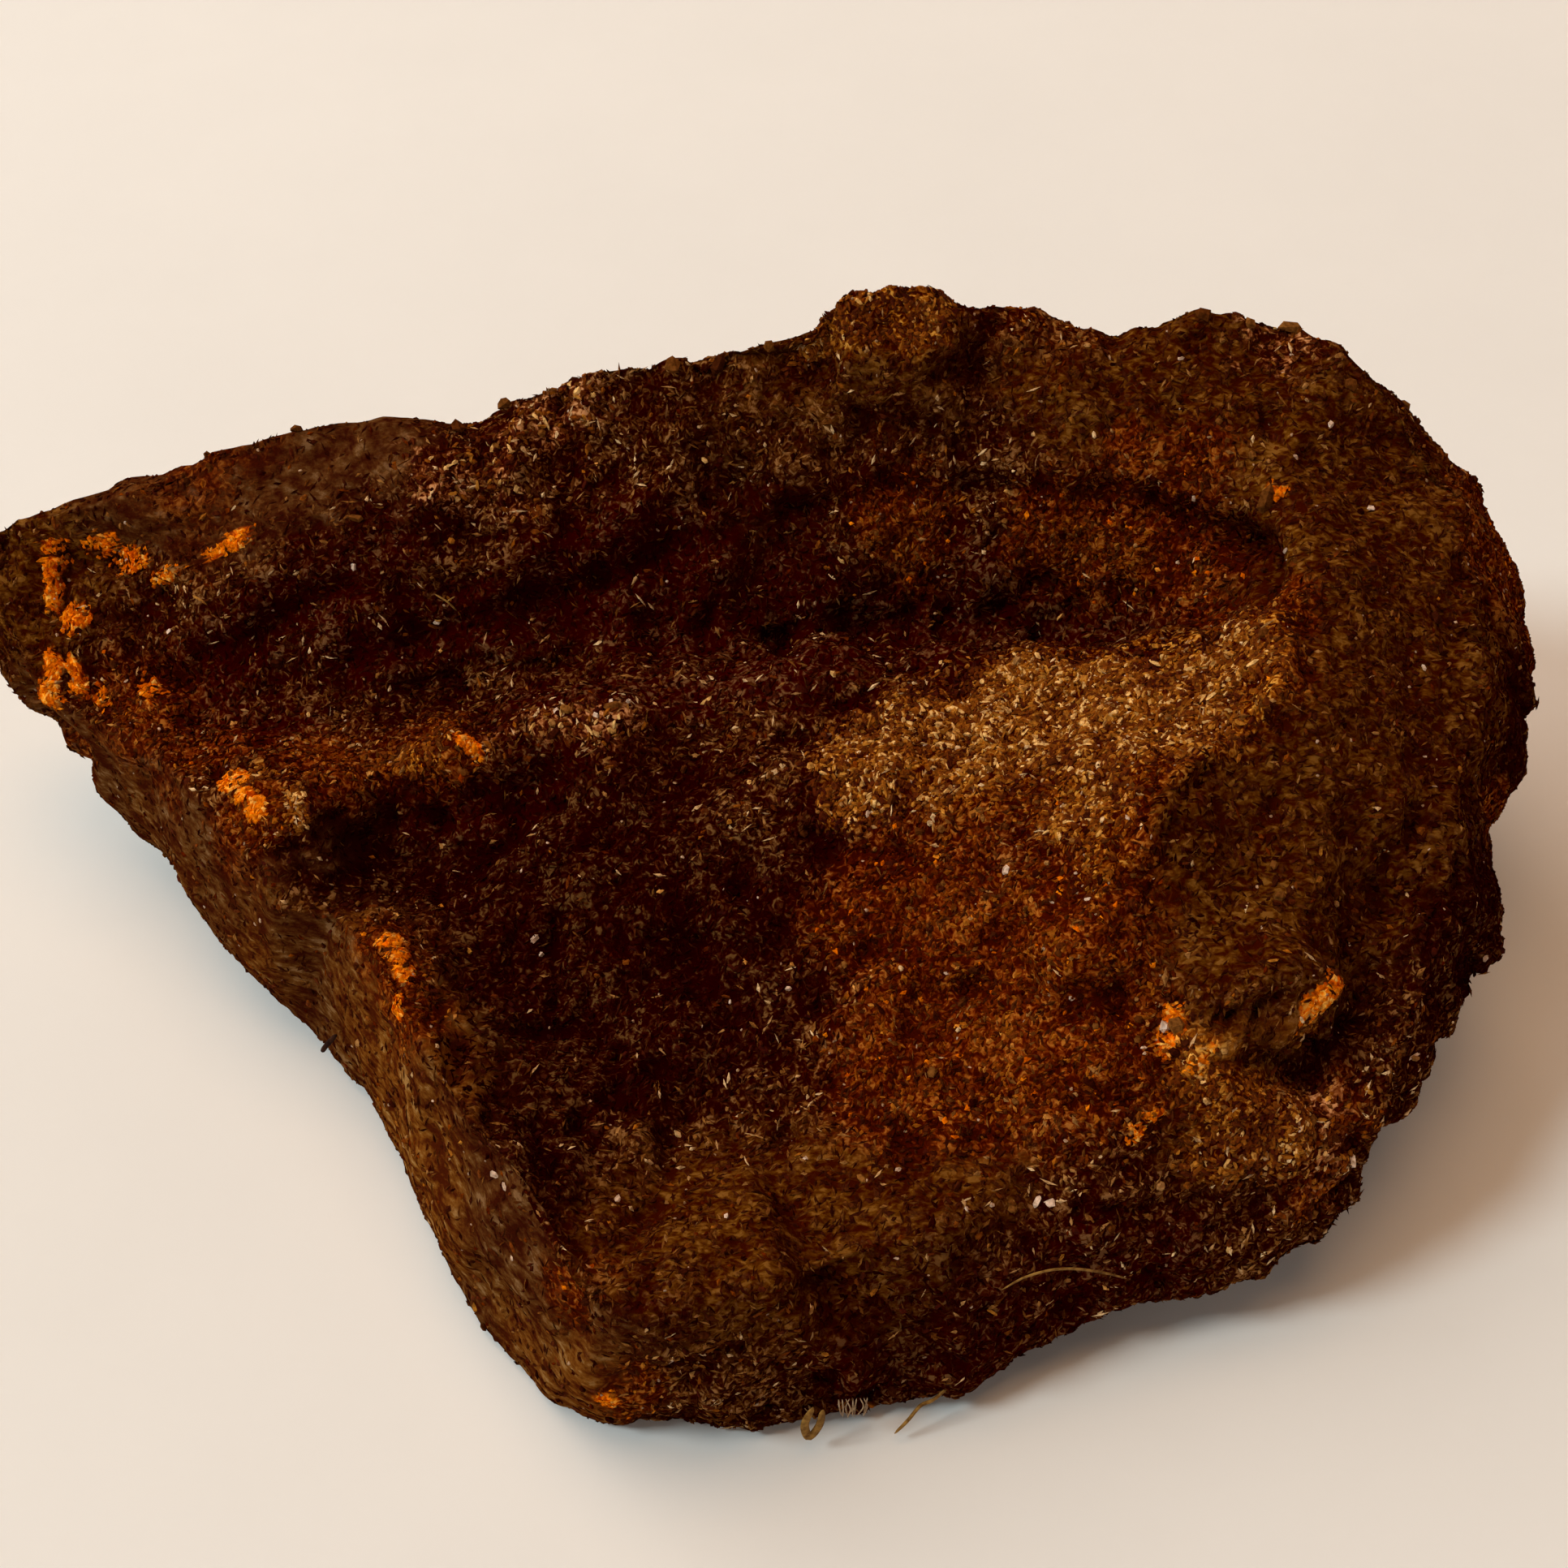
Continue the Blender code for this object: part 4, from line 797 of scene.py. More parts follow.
def raise_skin(points, normals, shares):
    """Return the skin's points moved along their normals, and the painted shade of each.

    They move by lumps, chips, granules, hollows, beds, crusts and cracks. A point is painted paler where
    the fine relief stands out and darker where it lies deep: painted light and shade.
    """
    smooth = shares["grey"] + shares["tan"]
    rough = 1.0 - SMOOTH_LOSS * smooth - OLIVE_LOSS * shares["olive"] - RUST_LOSS * shares["rust"]
    granule = nearest_site(push_about(points, GRANULE_PUSH, GRANULE_PUSH_SEED), GRANULE, GRANULE_SEED)
    height = (chip_height(points) + sum_of_lumps(points, LUMPS)) * liveliness(points)
    ridges = sum(rise * (0.5 - 2.0 * np.abs(lump_height(points, size, seed))) for size, rise, seed in RIDGES)
    hollow = fade(lump_height(points, HOLLOW_SIZE, HOLLOW_SEED), *HOLLOW_EDGE)
    fine = sum_of_lumps(points, FINE_LUMPS) + ridges + GRANULE_HEIGHT * (1.0 - 2.0 * granule ** 2)
    fine -= HOLLOW_DEPTH * hollow * (1.0 - FILLED_HOLLOWS * shares["ochre"])
    fine *= rough
    fine *= 1.0 - CRUST_COVERS * shares["orange"]
    beds = bed_height(points) * (smooth + OLIVE_BEDS * shares["olive"])
    fine += beds + CRUST_HEIGHT * shares["orange"]
    fine *= fade(points[:, 2], *BASE_EDGE)
    scored = score_height(points)
    moved = points + normals * (height + fine + scored)[:, None]
    moved[:, 2] = np.where(points[:, 2] > 0.0, np.maximum(moved[:, 2], LOWEST_SIDE), 0.0)
    # Painted light and shade: raised relief and ledges get a paler colour, deep relief and cracks a darker
    # one.
    relief_shade = np.clip(0.5 + (fine + RELIEF_SHADE_SCORES * scored - RELIEF_SHADE_MIDDLE) / RELIEF_SHADE_REACH, 0.0, 1.0)
    return moved, relief_shade


# ---- Meshes -------------------------------------------------------------------------------------

def make_piece(name, points, face_groups, material, smooth=False, values=None):
    """Return an object whose mesh holds the points and faces, and the named values of each point."""
    corners = np.concatenate([faces.ravel() for faces in face_groups])
    sides = np.concatenate([np.full(len(faces), faces.shape[1]) for faces in face_groups])
    mesh = bpy.data.meshes.new(name)
    mesh.vertices.add(len(points))
    mesh.vertices.foreach_set("co", ((points - PLAN_MIDDLE) * MM).ravel())
    mesh.loops.add(len(corners))
    mesh.loops.foreach_set("vertex_index", corners)
    mesh.polygons.add(len(sides))
    mesh.polygons.foreach_set("loop_start", np.cumsum(sides) - sides)
    mesh.update(calc_edges=True)
    if smooth:
        mesh.shade_smooth()
    else:
        mesh.shade_flat()
    for label, numbers in (values or {}).items():
        attribute = mesh.attributes.new(label, "FLOAT", "POINT")
        attribute.data.foreach_set("value", np.asarray(numbers, dtype=np.float32))
    mesh.materials.append(material)
    piece = bpy.data.objects.new(name, mesh)
    bpy.context.scene.collection.objects.link(piece)
    return piece


def fasten(piece):
    """Attach the piece to the stone's body, so that it rides on the stone."""
    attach(piece, BODY)
    return piece


# ---- Grains -------------------------------------------------------------------------------------

def grain_pattern(rings, sides):
    """Return a unit grain along X: rings of points whose radius is the sine of their place, and faces."""
    place = np.linspace(0.0, math.pi, rings + 2)[1:-1]
    turn = np.arange(sides) * 2.0 * math.pi / sides
    ring_x = np.repeat(-np.cos(place), sides)
    ring_y = np.outer(np.sin(place), np.cos(turn)).ravel()
    ring_z = np.outer(np.sin(place), np.sin(turn)).ravel()
    points = np.vstack(((-1.0, 0.0, 0.0), np.column_stack((ring_x, ring_y, ring_z)), (1.0, 0.0, 0.0)))
    ring = 1 + np.arange(rings * sides).reshape(rings, sides)
    after = np.roll(ring, -1, axis=1)
    last = np.full(sides, len(points) - 1)
    faces = [np.column_stack((np.zeros(sides, int), after[0], ring[0]))]
    for near, far in itertools.pairwise(range(rings)):
        faces.append(np.column_stack((ring[near], after[near], after[far])))
        faces.append(np.column_stack((ring[near], after[far], ring[far])))
    faces.append(np.column_stack((last, ring[-1], after[-1])))
    return points, np.vstack(faces)


def strew(skin, density, count, random):
    """Return random places on the skin, their normals and their nearest skin point's number."""
    areas = np.linalg.norm(skin["crosses"], axis=1)
    weights = areas * density[skin["triangles"]].mean(axis=1)
    chosen = random.choice(len(weights), size=count, p=weights / weights.sum())
    corners = skin["triangles"][chosen]
    share = random.dirichlet((1.0, 1.0, 1.0), count)
    places = (skin["points"][corners] * share[:, :, None]).sum(axis=1)
    normals = (skin["normals"][corners] * share[:, :, None]).sum(axis=1)
    normals /= np.linalg.norm(normals, axis=1)[:, None]
    return places, normals, corners[np.arange(count), share.argmax(axis=1)]


def lay_grains(places, normals, sizes, headings, pattern, lift, bend, random):
    """Return the points and faces of one grain at each place.

    A grain's own X lies along its heading and its Z along the skin's normal. It is stretched to its
    sizes, bent sideways by the square of X, roughened a little and raised by a share of its height.
    """
    unit, faces = pattern
    count = len(places)
    own = np.repeat(unit[None], count, axis=0)
    own[:, :, 1] += (own[:, :, 0] ** 2 - BEND_MIDDLE) * (bend * random.uniform(-1.0, 1.0, count))[:, None]
    own += random.uniform(-GRAIN_ROUGHNESS, GRAIN_ROUGHNESS, own.shape)
    own *= sizes[:, None, :] / 2.0
    own[:, :, 2] += (lift * sizes[:, 2])[:, None]
    ahead = headings - (headings * normals).sum(axis=1)[:, None] * normals
    ahead /= np.linalg.norm(ahead, axis=1)[:, None]
    beside = np.cross(normals, ahead)
    roll = np.tan(random.normal(0.0, GRAIN_TILT, (count, 1)).clip(-MOST_TILT, MOST_TILT))
    upward = normals + roll * beside
    upward /= np.linalg.norm(upward, axis=1)[:, None]
    basis = np.stack((ahead, np.cross(upward, ahead), upward), axis=1)
    points = places[:, None, :] + own @ basis
    numbered = faces[None] + (np.arange(count) * len(unit))[:, None, None]
    return points.reshape(-1, 3), numbered.reshape(-1, 3)


def make_grains(name, skin, density, material, count, form, size, seed, bend=0.3, gain=1.0):
    """Strew a kind of grain over the skin.

    Size is a grain's usual length, width and height. Each grain is about as pale as the ground that it
    lies on, times the kind's own gain, and strays from that at random.
    """
    random = np.random.default_rng(seed)
    pattern = grain_pattern(*form)
    places, normals, nearest = strew(skin, density, count, random)
    sizes = np.array(size) * np.exp(random.normal(0.0, GRAIN_SPREAD, (count, 3)))
    headings = random.normal(0.0, 1.0, (count, 3)) + FLOW_PULL * flow_heading(places, normals)
    points, faces = lay_grains(places, normals, sizes, headings, pattern, GRAIN_LIFT, bend, random)
    stray = np.exp(skin["stray"][nearest] * random.normal(0.0, 1.0, count))
    paleness = np.clip(gain * skin["paleness"][nearest] * stray, 0.0, 1.0)
    values = {"shade": np.repeat(paleness, len(pattern[0]))}
    return fasten(make_piece(name, points, (faces,), material, values=values))


def flow_heading(places, normals):
    """Return the way that grains tend to lie: down the slopes, and along the beds on the right plate."""
    down = np.column_stack((normals[:, 0], normals[:, 1], np.zeros(len(normals)))) * SLOPE_PULL
    on_plate = fade(places[:, 0], *PLATE_EDGE)[:, None]
    return down * (1.0 - on_plate) + np.array(PLATE_FLOW) * on_plate


def nearest_skin(skin, spots):
    """Return the number of the skin point nearest to each spot."""
    return np.array([((skin["points"] - spot) ** 2).sum(axis=1).argmin() for spot in spots])


def lay_stones(skin, shown, density, count, draw_lengths, least, stretch, form, lift, bend, random):
    """Return the points and faces of the shown stones and of small strewn ones, and what they lie on.

    The shown ones have listed lengths and the strewn ones, of which there is a count, have drawn lengths.
    A stone's sides are random shares of its length, from the least share up, times the stretch, and it
    points any way.
    """
    shown = np.array(shown)
    at = nearest_skin(skin, shown[:, :3])
    places, normals, nearest = strew(skin, density, count, random)
    lengths = np.concatenate((shown[:, 3], draw_lengths()))
    places = np.vstack((skin["points"][at], places))
    normals = np.vstack((skin["normals"][at], normals))
    sizes = lengths[:, None] * random.uniform(least, 1.0, (len(lengths), 3)) * stretch
    headings = random.normal(0.0, 1.0, (len(lengths), 3))
    points, faces = lay_grains(places, normals, sizes, headings, grain_pattern(*form), lift, bend, random)
    return points, faces, np.concatenate((at, nearest))


def make_chips(skin, material):
    """Set the loose chips on the crest and the edges, and strew smaller ones over the rough faces."""
    random = np.random.default_rng(CHIP_DRAW_SEED)
    density = skin["clear_of_base"] * (1.0 - CHIP_BARE * skin["grey"] - CHIP_BARE * skin["tan"])
    points, faces, nearest = lay_stones(
        skin, LOOSE_CHIPS, density, CHIP_COUNT,
        lambda: CHIP_LENGTH * np.exp(random.normal(0.0, CHIP_SPREAD, CHIP_COUNT)),
        0.5, (1.0, 0.8, 0.6), (2, 5), CHIP_LIFT, CHIP_BEND, random,
    )
    stray = np.exp(random.normal(CHIP_GAIN, CHIP_STRAY, len(nearest)))
    stray[:len(LOOSE_CHIPS)] = SHOWN_CHIP_GAIN
    shades = np.clip(skin["paleness"][nearest] * stray, 0.0, 1.0)
    values = {"shade": np.repeat(shades, len(points) // len(nearest))}
    return fasten(make_piece("loose_ore_chips", points, (faces,), material, values=values))


def make_quartz(skin, material):
    """Set the quartz grains that stand out, and strew small ones between the other grains."""
    random = np.random.default_rng(QUARTZ_DRAW_SEED)
    density = 0.35 + 1.5 * skin["ochre"] + 1.2 * skin["pale"] + 0.8 * skin["rust"] + skin["orange"]
    points, faces, nearest = lay_stones(
        skin, SHOWN_QUARTZ, density * skin["clear_of_base"], QUARTZ_COUNT,
        lambda: random.uniform(*QUARTZ_LENGTHS, QUARTZ_COUNT),
        0.4, (1.1, 0.9, 0.6), (2, 4), 0.0, QUARTZ_BEND, random,
    )
    shown_shades = random.uniform(*QUARTZ_SHOWN_SHADES, len(SHOWN_QUARTZ))
    small_shades = random.uniform(*QUARTZ_SMALL_SHADES, QUARTZ_COUNT)
    shades = np.concatenate((shown_shades, small_shades))
    values = {"shade": np.repeat(shades, len(points) // len(nearest))}
    return fasten(make_piece("quartz_grains", points, (faces,), material, values=values))


# ---- Plant bits ---------------------------------------------------------------------------------

def smooth_line(stops, steps):
    """Return a line through the stops: each coordinate by cubic blending of four neighbouring stops."""
    stops = np.array(stops)
    padded = np.vstack((2.0 * stops[0] - stops[1], stops, 2.0 * stops[-1] - stops[-2]))
    where = np.linspace(0.0, len(stops) - 1.0, steps)
    first = np.minimum(where.astype(int), len(stops) - 2)
    part = (where - first)[:, None]
    before, start, end, beyond = (padded[first + step] for step in range(4))
    return 0.5 * (2.0 * start + (end - before) * part
                  + (2.0 * before - 5.0 * start + 4.0 * end - beyond) * part ** 2
                  + (3.0 * (start - end) + beyond - before) * part ** 3)


def tube_along(stops, radius, flatness=1.0, steps=24, sides=7):
    """Return the points and faces of a closed stalk: a ring carried along the line, thin at its ends.

    The ring's radius follows a flattened half circle along the line, and flatness squeezes it one way.
    """
    line = smooth_line(stops, steps)
    ahead = np.gradient(line, axis=0)
    ahead /= np.linalg.norm(ahead, axis=1)[:, None]
    side = np.cross(ahead, (0.3, -0.8, 0.5))
    side /= np.linalg.norm(side, axis=1)[:, None]
    up = np.cross(side, ahead)
    turn = np.arange(sides) * 2.0 * math.pi / sides
    place = np.linspace(-1.0, 1.0, steps)
    width = radius * (0.25 + 0.75 * np.sqrt(1.0 - place ** 4))[:, None, None]
    ring = np.cos(turn)[None, :, None] * side[:, None, :]
    ring = ring + flatness * np.sin(turn)[None, :, None] * up[:, None, :]
    points = np.vstack((line[0], (line[:, None, :] + width * ring).reshape(-1, 3), line[-1]))
    index = 1 + np.arange(steps * sides).reshape(steps, sides)
    index = np.column_stack((index, index[:, 0]))
    quads = quads_of(index)
    last = len(points) - 1
    caps = np.vstack((np.column_stack((np.zeros(sides, int), index[0, 1:], index[0, :-1])),
                      np.column_stack((np.full(sides, last), index[-1, :-1], index[-1, 1:]))))
    return points, split_quads(quads, caps)


def join_parts(parts):
    """Return the points of several parts as one, and their faces as one group."""
    points = np.vstack([part[0] for part in parts])
    starts = np.cumsum([0] + [len(part[0]) for part in parts[:-1]])
    return points, (np.vstack([faces + start for (_, faces), start in zip(parts, starts)]),)


def make_plant_bits(straw, bark, bleached):
    """Make three pieces: the straw, husk, rootlet and twigs, the dark thorn, and the bleached fringe.

    A fringe hair is a tube from its root on the fringe's line, over a bowed middle, to a tip below it.
    """
    random = np.random.default_rng(PLANT_SEED)
    stalks = [
        tube_along(STRAW, 0.09, flatness=0.5, steps=40), tube_along(HUSK, 0.3, flatness=0.35),
        tube_along(ROOTLET, 0.12), tube_along(FORK, 0.07), tube_along(FORK_TWIG, 0.05, steps=10),
    ]
    hairs = []
    for share in np.linspace(0.0, 1.0, FRINGE_HAIRS):
        root = FRINGE_START + share * (FRINGE_END - FRINGE_START)
        bow = random.uniform(-FRINGE_BOW, FRINGE_BOW, 3)
        tip = root + (random.uniform(-0.3, 0.3), -0.5, -FRINGE_LENGTH * random.uniform(0.6, 1.0))
        middle = (root + tip) / 2.0 + bow * (1.0, 0.3, 0.2)
        hairs.append(tube_along((root, middle, tip), FRINGE_RADIUS, steps=10, sides=5))
    thorn = tube_along(THORN, 0.2, flatness=0.6)
    return (
        fasten(make_piece("dry_plant_bits", *join_parts(stalks), straw, smooth=True)),
        fasten(make_piece("dry_thorn", *join_parts([thorn]), bark, smooth=True)),
        fasten(make_piece("bleached_fringe", *join_parts(hairs), bleached, smooth=True)),
    )


# ---- Materials ----------------------------------------------------------------------------------

MIX_FACTOR, MIX_FIRST, MIX_SECOND, MIX_RESULT = 0, 6, 7, 2   # a colour mix's sockets


def linear(colour):
    """Return an sRGB hex colour as linear red, green, blue and alpha."""
    parts = [int(colour[place:place + 2], 16) / 255.0 for place in (1, 3, 5)]
    return [part / 12.92 if part <= 0.04045 else ((part + 0.055) / 1.055) ** 2.4 for part in parts] + [1.0]


def per_size(millimetres):
    """Return the noise scale whose features are about this wide on Object coordinates in metres."""
    return 1.0 / (millimetres * MM)


def add_node(material, kind, links=None, values=None, stops=(), **settings):
    """Add a node with its settings, its fixed input values, its colour stops and the sockets that feed it."""
    node = material.node_tree.nodes.new(kind)
    for name, setting in settings.items():
        setattr(node, name, setting)
    for socket, value in (values or {}).items():
        node.inputs[socket].default_value = value
    for socket, source in (links or {}).items():
        material.node_tree.links.new(source, node.inputs[socket])
    while stops and len(node.color_ramp.elements) < len(stops):
        node.color_ramp.elements.new(0.5)
    for number, (where, colour) in enumerate(stops):
        node.color_ramp.elements[number].position = where
        node.color_ramp.elements[number].color = linear(colour)
    return node


def start_material(name, roughness, gloss):
    """Return an empty material, its shader and its Object coordinates."""
    material = bpy.data.materials.new(name)
    material.use_nodes = True
    shader = material.node_tree.nodes["Principled BSDF"]
    shader.inputs["Roughness"].default_value = roughness
    shader.inputs["Specular IOR Level"].default_value = gloss
    shader.inputs["IOR"].default_value = MINERAL_IOR
    place = add_node(material, "ShaderNodeTexCoord").outputs["Object"]
    return material, shader, place


def lean(material, factor, other, amount):
    """Push a factor up or down by how far another noise is from its middle, times an amount."""
    links = {0: other}
    moved = add_node(material, "ShaderNodeMath", links, {1: 0.5}, operation="SUBTRACT").outputs[0]
    links = {0: moved, 2: factor}
    return add_node(material, "ShaderNodeMath", links, {1: amount}, operation="MULTIPLY_ADD").outputs[0]


def make_ore_skin():
    """Broken brown iron ore, goethite and limonite: dull, earthy and full of specks, with no gloss.

    It gives the eye a near-black to maroon ground between countless brown to tan flecks. The stains'
    own colours are laid over each other by their shares: olive and grey where the ore is smooth and
    bedded, rust and ochre where it has weathered, and bright orange crusts. The dark and maroon layers
    also paint shade into creases, the channel and crevices, and the relief shade paints deep relief
    darker and raised relief paler.
    """
    material, shader, place = start_material("broken_brown_ore", ROUGH, NO_GLOSS)
    # Painted light and shade: the relief shade pulls the mottle, and so the flecks, paler on raised relief
    # and darker in deep relief.
    relief_shade = add_node(material, "ShaderNodeAttribute", attribute_name="relief_shade").outputs["Fac"]
    values = {"Scale": per_size(MOTTLE_WIDTH), "Detail": MOTTLE_DETAIL, "Roughness": PATCH_ROUGHNESS}
    mottle = add_node(material, "ShaderNodeTexNoise", {"Vector": place}, values).outputs["Fac"]
    mottle = lean(material, mottle, relief_shade, MOTTLE_PULL)
    patterns = {}
    for name, (width, detail, grit, swirl, turn, stretch, pull) in ORE_PATTERNS.items():
        values = {"Rotation": [math.radians(angle) for angle in turn], "Scale": stretch}
        laid = add_node(material, "ShaderNodeMapping", {"Vector": place}, values).outputs["Vector"]
        values = {"Scale": per_size(width), "Detail": detail, "Roughness": grit, "Distortion": swirl}
        noise = add_node(material, "ShaderNodeTexNoise", {"Vector": laid}, values).outputs["Fac"]
        patterns[name] = lean(material, noise, mottle, pull)
    colour = None
    for name, (pattern, colours) in ORE_COLOURS.items():
        links = {"Fac": patterns[pattern]}
        stops = list(zip(FLECK_STOPS, colours))
        own = add_node(material, "ShaderNodeValToRGB", links, stops=stops).outputs["Color"]
        share = add_node(material, "ShaderNodeAttribute", attribute_name=name).outputs["Fac"]
        links = {MIX_FACTOR: share, MIX_FIRST: colour or own, MIX_SECOND: own}
        colour = add_node(material, "ShaderNodeMix", links, data_type="RGBA").outputs[MIX_RESULT]
    material.node_tree.links.new(colour, shader.inputs["Base Color"])
    values = {"Strength": BUMP_STRENGTH, "Distance": BUMP_HEIGHT * MM}
    bump = add_node(material, "ShaderNodeBump", {"Height": patterns["flecks"]}, values)
    material.node_tree.links.new(bump.outputs["Normal"], shader.inputs["Normal"])
    return material


def make_grain_material(name, stops, roughness=ROUGH, gloss=NO_GLOSS):
    """Grains of one mineral: each takes its colour from its own paleness, mottled a little inside."""
    material, shader, place = start_material(name, roughness, gloss)
    shade = add_node(material, "ShaderNodeAttribute", attribute_name="shade").outputs["Fac"]
    colour = add_node(material, "ShaderNodeValToRGB", {"Fac": shade}, stops=stops).outputs["Color"]
    values = {"Scale": per_size(GRAIN_MOTTLE_WIDTH), "Detail": MOTTLE_DETAIL, "Roughness": PATCH_ROUGHNESS}
    noise = add_node(material, "ShaderNodeTexNoise", {"Vector": place}, values).outputs["Fac"]
    mottle = add_node(material, "ShaderNodeValToRGB", {"Fac": noise}, stops=GRAIN_MOTTLE).outputs["Color"]
    mix = add_node(material, "ShaderNodeMix", {MIX_FIRST: colour, MIX_SECOND: mottle}, {MIX_FACTOR: 1.0},
                   data_type="RGBA", blend_type="MULTIPLY")
    material.node_tree.links.new(mix.outputs[MIX_RESULT], shader.inputs["Base Color"])
    return material


def make_plain_material(name, first, second, roughness, gloss, size):
    """Plant matter or paper: two close colours in soft patches of the given size."""
    material, shader, place = start_material(name, roughness, gloss)
    values = {"Scale": per_size(size), "Detail": PATCH_DETAIL, "Roughness": PATCH_ROUGHNESS}
    noise = add_node(material, "ShaderNodeTexNoise", {"Vector": place}, values).outputs["Fac"]
    stops = list(zip(PATCH_STOPS, (first, second)))
    colour = add_node(material, "ShaderNodeValToRGB", {"Fac": noise}, stops=stops).outputs["Color"]
    material.node_tree.links.new(colour, shader.inputs["Base Color"])
    return material


# ---- Building the stone -------------------------------------------------------------------------

def make_skin():
    """Make the skin in place of the plain solid, and return what the grains need to know of it."""
    smooth, quads, fan = make_main_form()
    triangles = split_quads(quads, fan)
    normals = point_normals(smooth, triangles)
    shares = stain_shares(smooth, normals)
    points, relief_shade = raise_skin(smooth, normals, shares)
    piece = fasten(make_piece("ore_skin", points, (quads, fan), make_ore_skin(), smooth=True,
                              values=dict(blend_steps(shares), relief_shade=relief_shade)))
    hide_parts(NODE)
    skin = dict(shares, points=points, triangles=triangles)
    skin["crosses"] = face_crosses(points, triangles)
    skin["normals"] = point_normals(points, triangles)
    skin["clear_of_base"] = fade(points[:, 2], *CLEAR_EDGE)
    skin["paleness"] = sum(PALENESS[name] * shares[name] for name in PALENESS)
    # Painted shade: grains in deep relief are painted darker, and grains on raised relief paler.
    skin["paleness"] *= PALE_DEEP + PALE_RISE * relief_shade
    skin["stray"] = sum(STRAY[name] * shares[name] for name in STRAY)
    return skin


def blend_steps(shares):
    """Return each stain's share of what is laid down up to it, so that mixing in turn gives the shares."""
    laid = shares["ground"].copy()
    steps = {"ground": np.ones_like(laid)}
    for name in STAINS:
        laid += shares[name]
        steps[name] = shares[name] / laid
    steps["orange"] = shares["orange"]
    return steps


def grain_densities(skin):
    """Return how thickly each kind of grain lies at each point of the skin.

    The brown ore grains lie everywhere but on smooth, stained or crusted ore, and the sand, the rust and
    the crumbs lie on their own stains.
    """
    clear = skin["clear_of_base"]
    stained = np.maximum.reduce([skin["ochre"], skin["pale"], skin["rust"], skin["orange"]])
    ore = clear * (1.0 - BARE_SMOOTH * skin["grey"] - BARE_SMOOTH * skin["tan"])
    ore *= 1.0 - BARE_OLIVE * skin["olive"]
    ore *= 1.0 - BARE_STAINED * stained
    ore *= 1.0 - BARE_CRUST * skin["orange"]
    ore *= 1.0 - FAR_LOSS * fade(skin["points"][:, 1], *FAR_EDGE)
    return {
        "fine_ore_grains": ore,
        "coarse_ore_grains": ore * (1.0 - BARE_DARK * skin["dark"] - BARE_DARK * skin["maroon"]),
        "ochre_sand": clear * (skin["ochre"] + 0.2 * skin["pale"] + 0.01),
        "rust_grains": clear * (skin["rust"] + 0.3 * skin["ochre"] + 0.02) * (1.0 - skin["orange"]),
        "orange_crust_crumbs": clear * (skin["orange"] + 0.008 * skin["rust"]),
    }


def make_all_grains(skin):
    """Strew the fine and coarse ore, the sand, the rust, the crust crumbs, the chips and the quartz."""
    materials = {
        # Goethite, splintered by breaking: thin dull needles, near black with tan edges.
        "fine_ore_grains": make_grain_material("goethite_splinters", BROWN_GRAINS),
        # Goethite, crumbled: blunt dull granules that make the ground look rough.
        "coarse_ore_grains": make_grain_material("goethite_granules", BROWN_GRAINS),
        # Limonite, weathered to sand: warm yellow-brown grains with the faintest sheen.
        "ochre_sand": make_grain_material("limonite_sand", OCHRE_GRAINS, 0.9, 0.05),
        # Rusty ore, weathered in place: red-brown grains, matt as rust is.
        "rust_grains": make_grain_material("rusty_ore_grains", RUSTY_GRAINS),
        # Limonite, earthy and freshly crumbled: the bright powdery orange of the crusts.
        "orange_crust_crumbs": make_grain_material("earthy_orange_limonite", ORANGE_GRAINS),
    }
    densities = grain_densities(skin)
    for name, kind in GRAIN_KINDS.items():
        make_grains(name, skin, densities[name], materials[name], **kind)
    # Goethite, chipped off by breaking: larger flat bits with crisp pale edges.
    make_chips(skin, make_grain_material("ore_chips", BROWN_GRAINS))
    # Quartz, broken: pale glassy grains, the only ones that glint.
    make_quartz(skin, make_grain_material("quartz", QUARTZ_GRAINS, 0.4, 0.45))


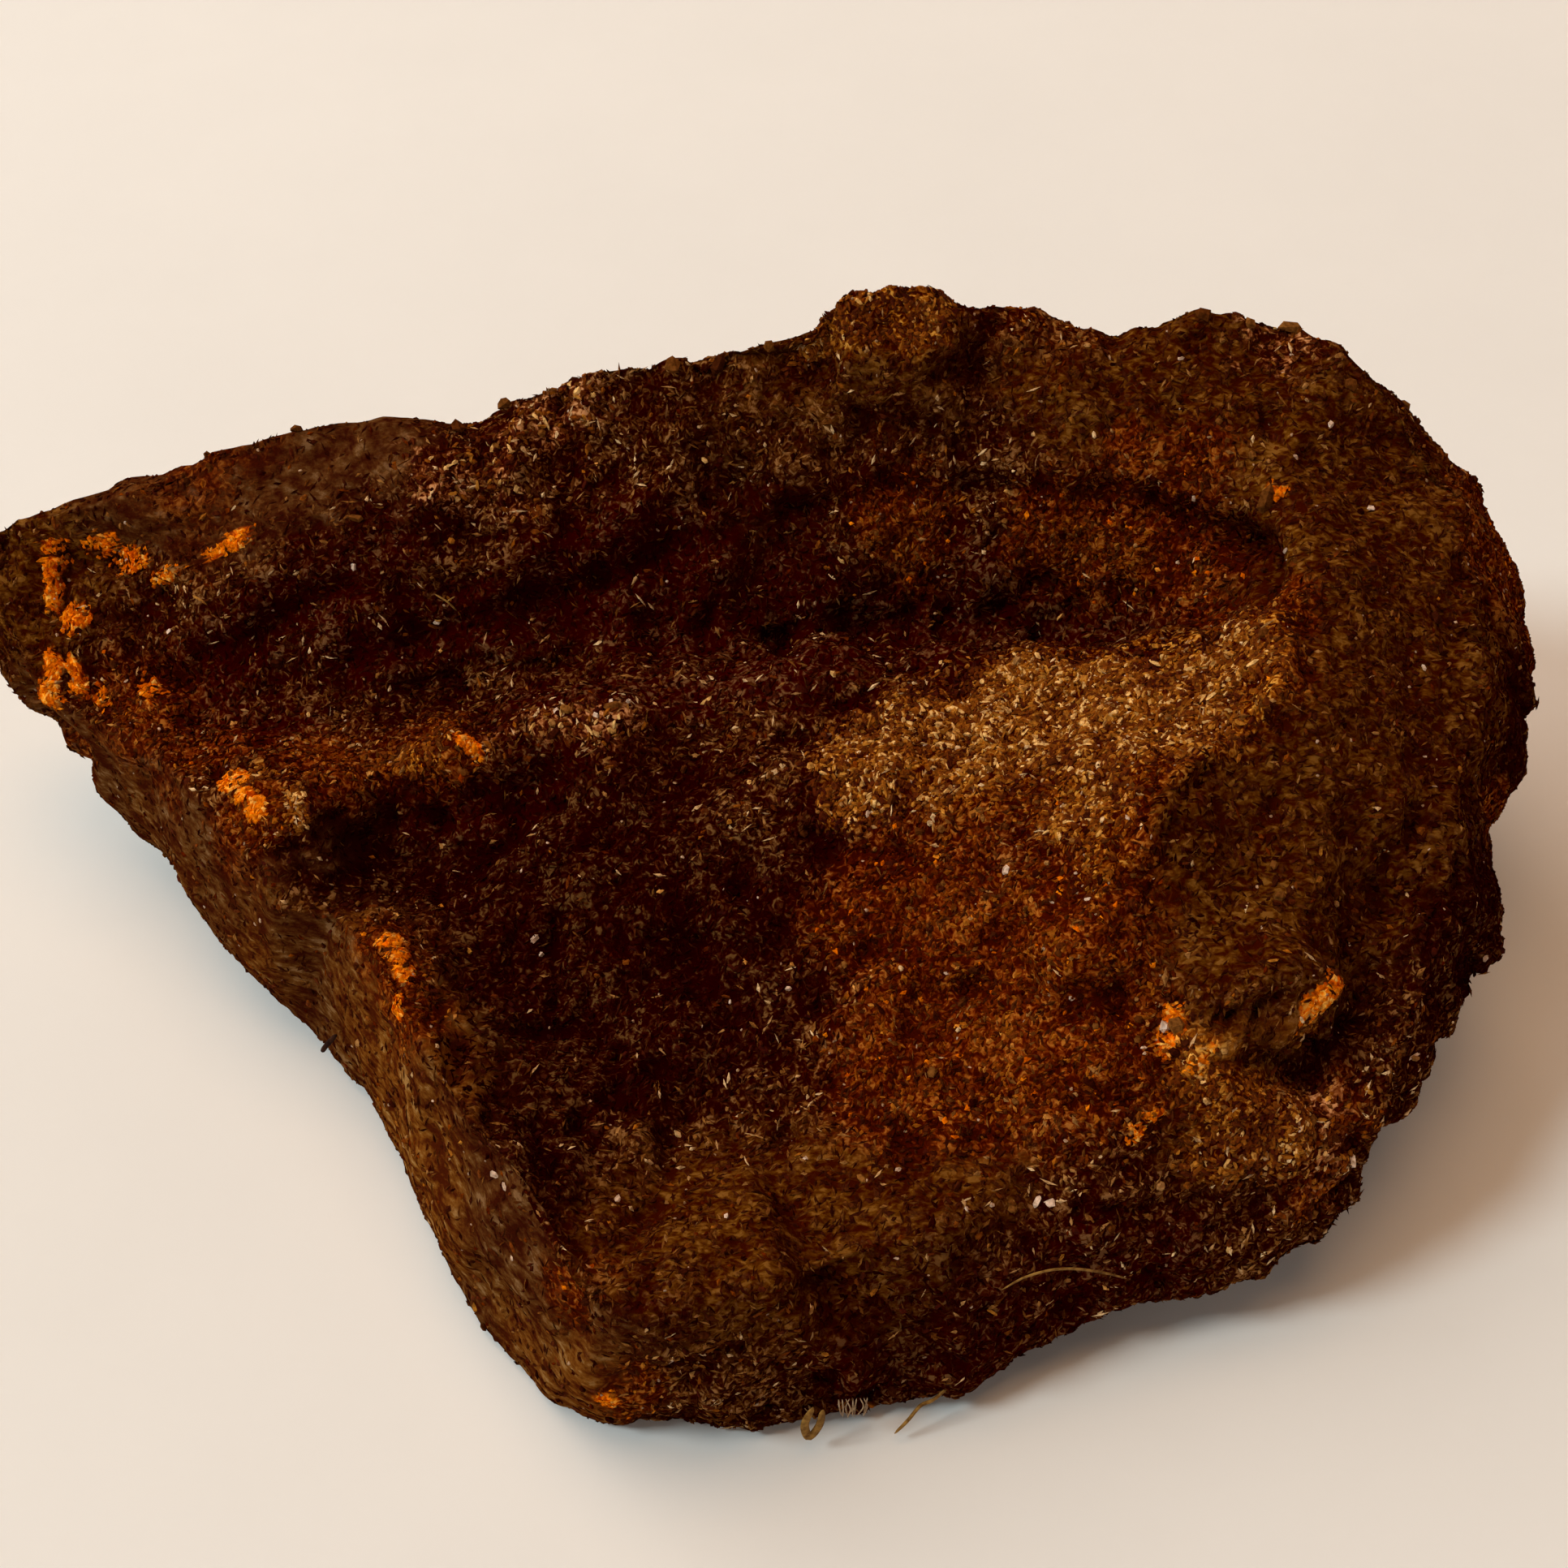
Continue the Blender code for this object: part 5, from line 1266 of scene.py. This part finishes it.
def lay_floor():
    """Lay a plain pale paper floor that curves up far behind, so that it has no edge to see.

    Its profile is flat, then an arc by sine and cosine, then upright, and is turned round the stone.
    """
    flat_rows, curve_rows, wall_rows = FLOOR_ROWS
    curve = np.linspace(*CURVE_SPAN, curve_rows)
    flat = np.linspace(0.0, FLOOR_REACH, flat_rows)
    wall = np.linspace(*FLOOR_WALL, wall_rows)
    reach = np.concatenate((flat, FLOOR_REACH + FLOOR_CURVE * np.sin(curve),
                            np.full(wall_rows, FLOOR_REACH + FLOOR_CURVE)))
    rise = np.concatenate((np.zeros(flat_rows), FLOOR_CURVE - FLOOR_CURVE * np.cos(curve), wall))
    turn = np.linspace(0.0, 2.0 * math.pi, FLOOR_SIDES + 1)[:-1]
    points = np.stack((np.outer(reach[1:], np.cos(turn)), np.outer(reach[1:], np.sin(turn)),
                       np.repeat(rise[1:, None], len(turn), axis=1)), axis=-1).reshape(-1, 3)
    points = np.vstack((points, (0.0, 0.0, 0.0))) - (0.0, 0.0, FLOOR_DROP)
    index = np.arange(len(points) - 1).reshape(len(reach) - 1, -1)
    index = np.column_stack((index, index[:, 0]))
    middle = np.full(len(turn), len(points) - 1)
    hub_fan = np.column_stack((middle, index[0, :-1], index[0, 1:]))
    faces = (quads_of(index)[:, ::-1], hub_fan)
    # Uncoated paper: an even matt white that takes soft shadows.
    paper = make_plain_material("matt_paper", "#eeeeee", "#f0f0f0", 0.95, 0.2, PAPER_PATCH)
    make_piece("paper_floor", points + PLAN_MIDDLE, faces, paper, smooth=True)


def hang_lamps():
    """Hang the round lamps, each at its distance and turned to the stone, and set the faint warm fill."""
    for name, power, colour, width, distance, elevation, bearing in LAMPS:
        light = bpy.data.lights.new(name, "AREA")
        light.shape = "DISK"
        light.size = width
        light.energy = power
        light.color = linear(colour)[:3]
        lamp = bpy.data.objects.new(name, light)
        tilt = math.radians(90.0 - elevation)
        turn = math.radians(bearing)
        lamp.location = [distance * part for part in (math.sin(tilt) * math.cos(turn),
                                                      math.sin(tilt) * math.sin(turn), math.cos(tilt))]
        lamp.rotation_euler = (0.0, tilt, turn)
        bpy.context.scene.collection.objects.link(lamp)
    world = bpy.data.worlds.new("soft_room_light")
    world.use_nodes = True
    world.node_tree.nodes["Background"].inputs["Color"].default_value = linear(FILL_COLOUR)
    world.node_tree.nodes["Background"].inputs["Strength"].default_value = FILL_STRENGTH
    bpy.context.scene.world = world


def set_camera():
    """Set the camera in front of the stone, looking down on it, and show colours as they are."""
    lens = bpy.data.cameras.new("camera")
    lens.lens = LENS
    lens.sensor_width = SENSOR_WIDTH
    lens.clip_start = NEAREST_SHOWN
    camera = bpy.data.objects.new("camera", lens)
    camera.location = (CAMERA_PLACE - PLAN_MIDDLE) * MM
    camera.rotation_euler = (math.radians(90.0 - CAMERA_DIP), 0.0, 0.0)
    bpy.context.scene.collection.objects.link(camera)
    bpy.context.scene.camera = camera
    bpy.context.scene.view_settings.view_transform = "Standard"


lay_floor()
hang_lamps()
set_camera()
skin = make_skin()
make_all_grains(skin)
make_plant_bits(
    # Dry straw: brown fibre, worn dull, with a faint waxy sheen.
    make_plain_material("dry_straw", "#5e3c14", "#9c7438", 0.8, 0.1, 0.5),
    # Dry bark: a dark, dull thorn.
    make_plain_material("dry_bark", "#200a04", "#3c1e0e", 0.8, 0.1, 0.5),
    # Bleached plant hair: pale dusty brown, a little silky.
    make_plain_material("bleached_plant_hair", "#80603e", "#b89a7a", 0.6, 0.3, 0.5),
)
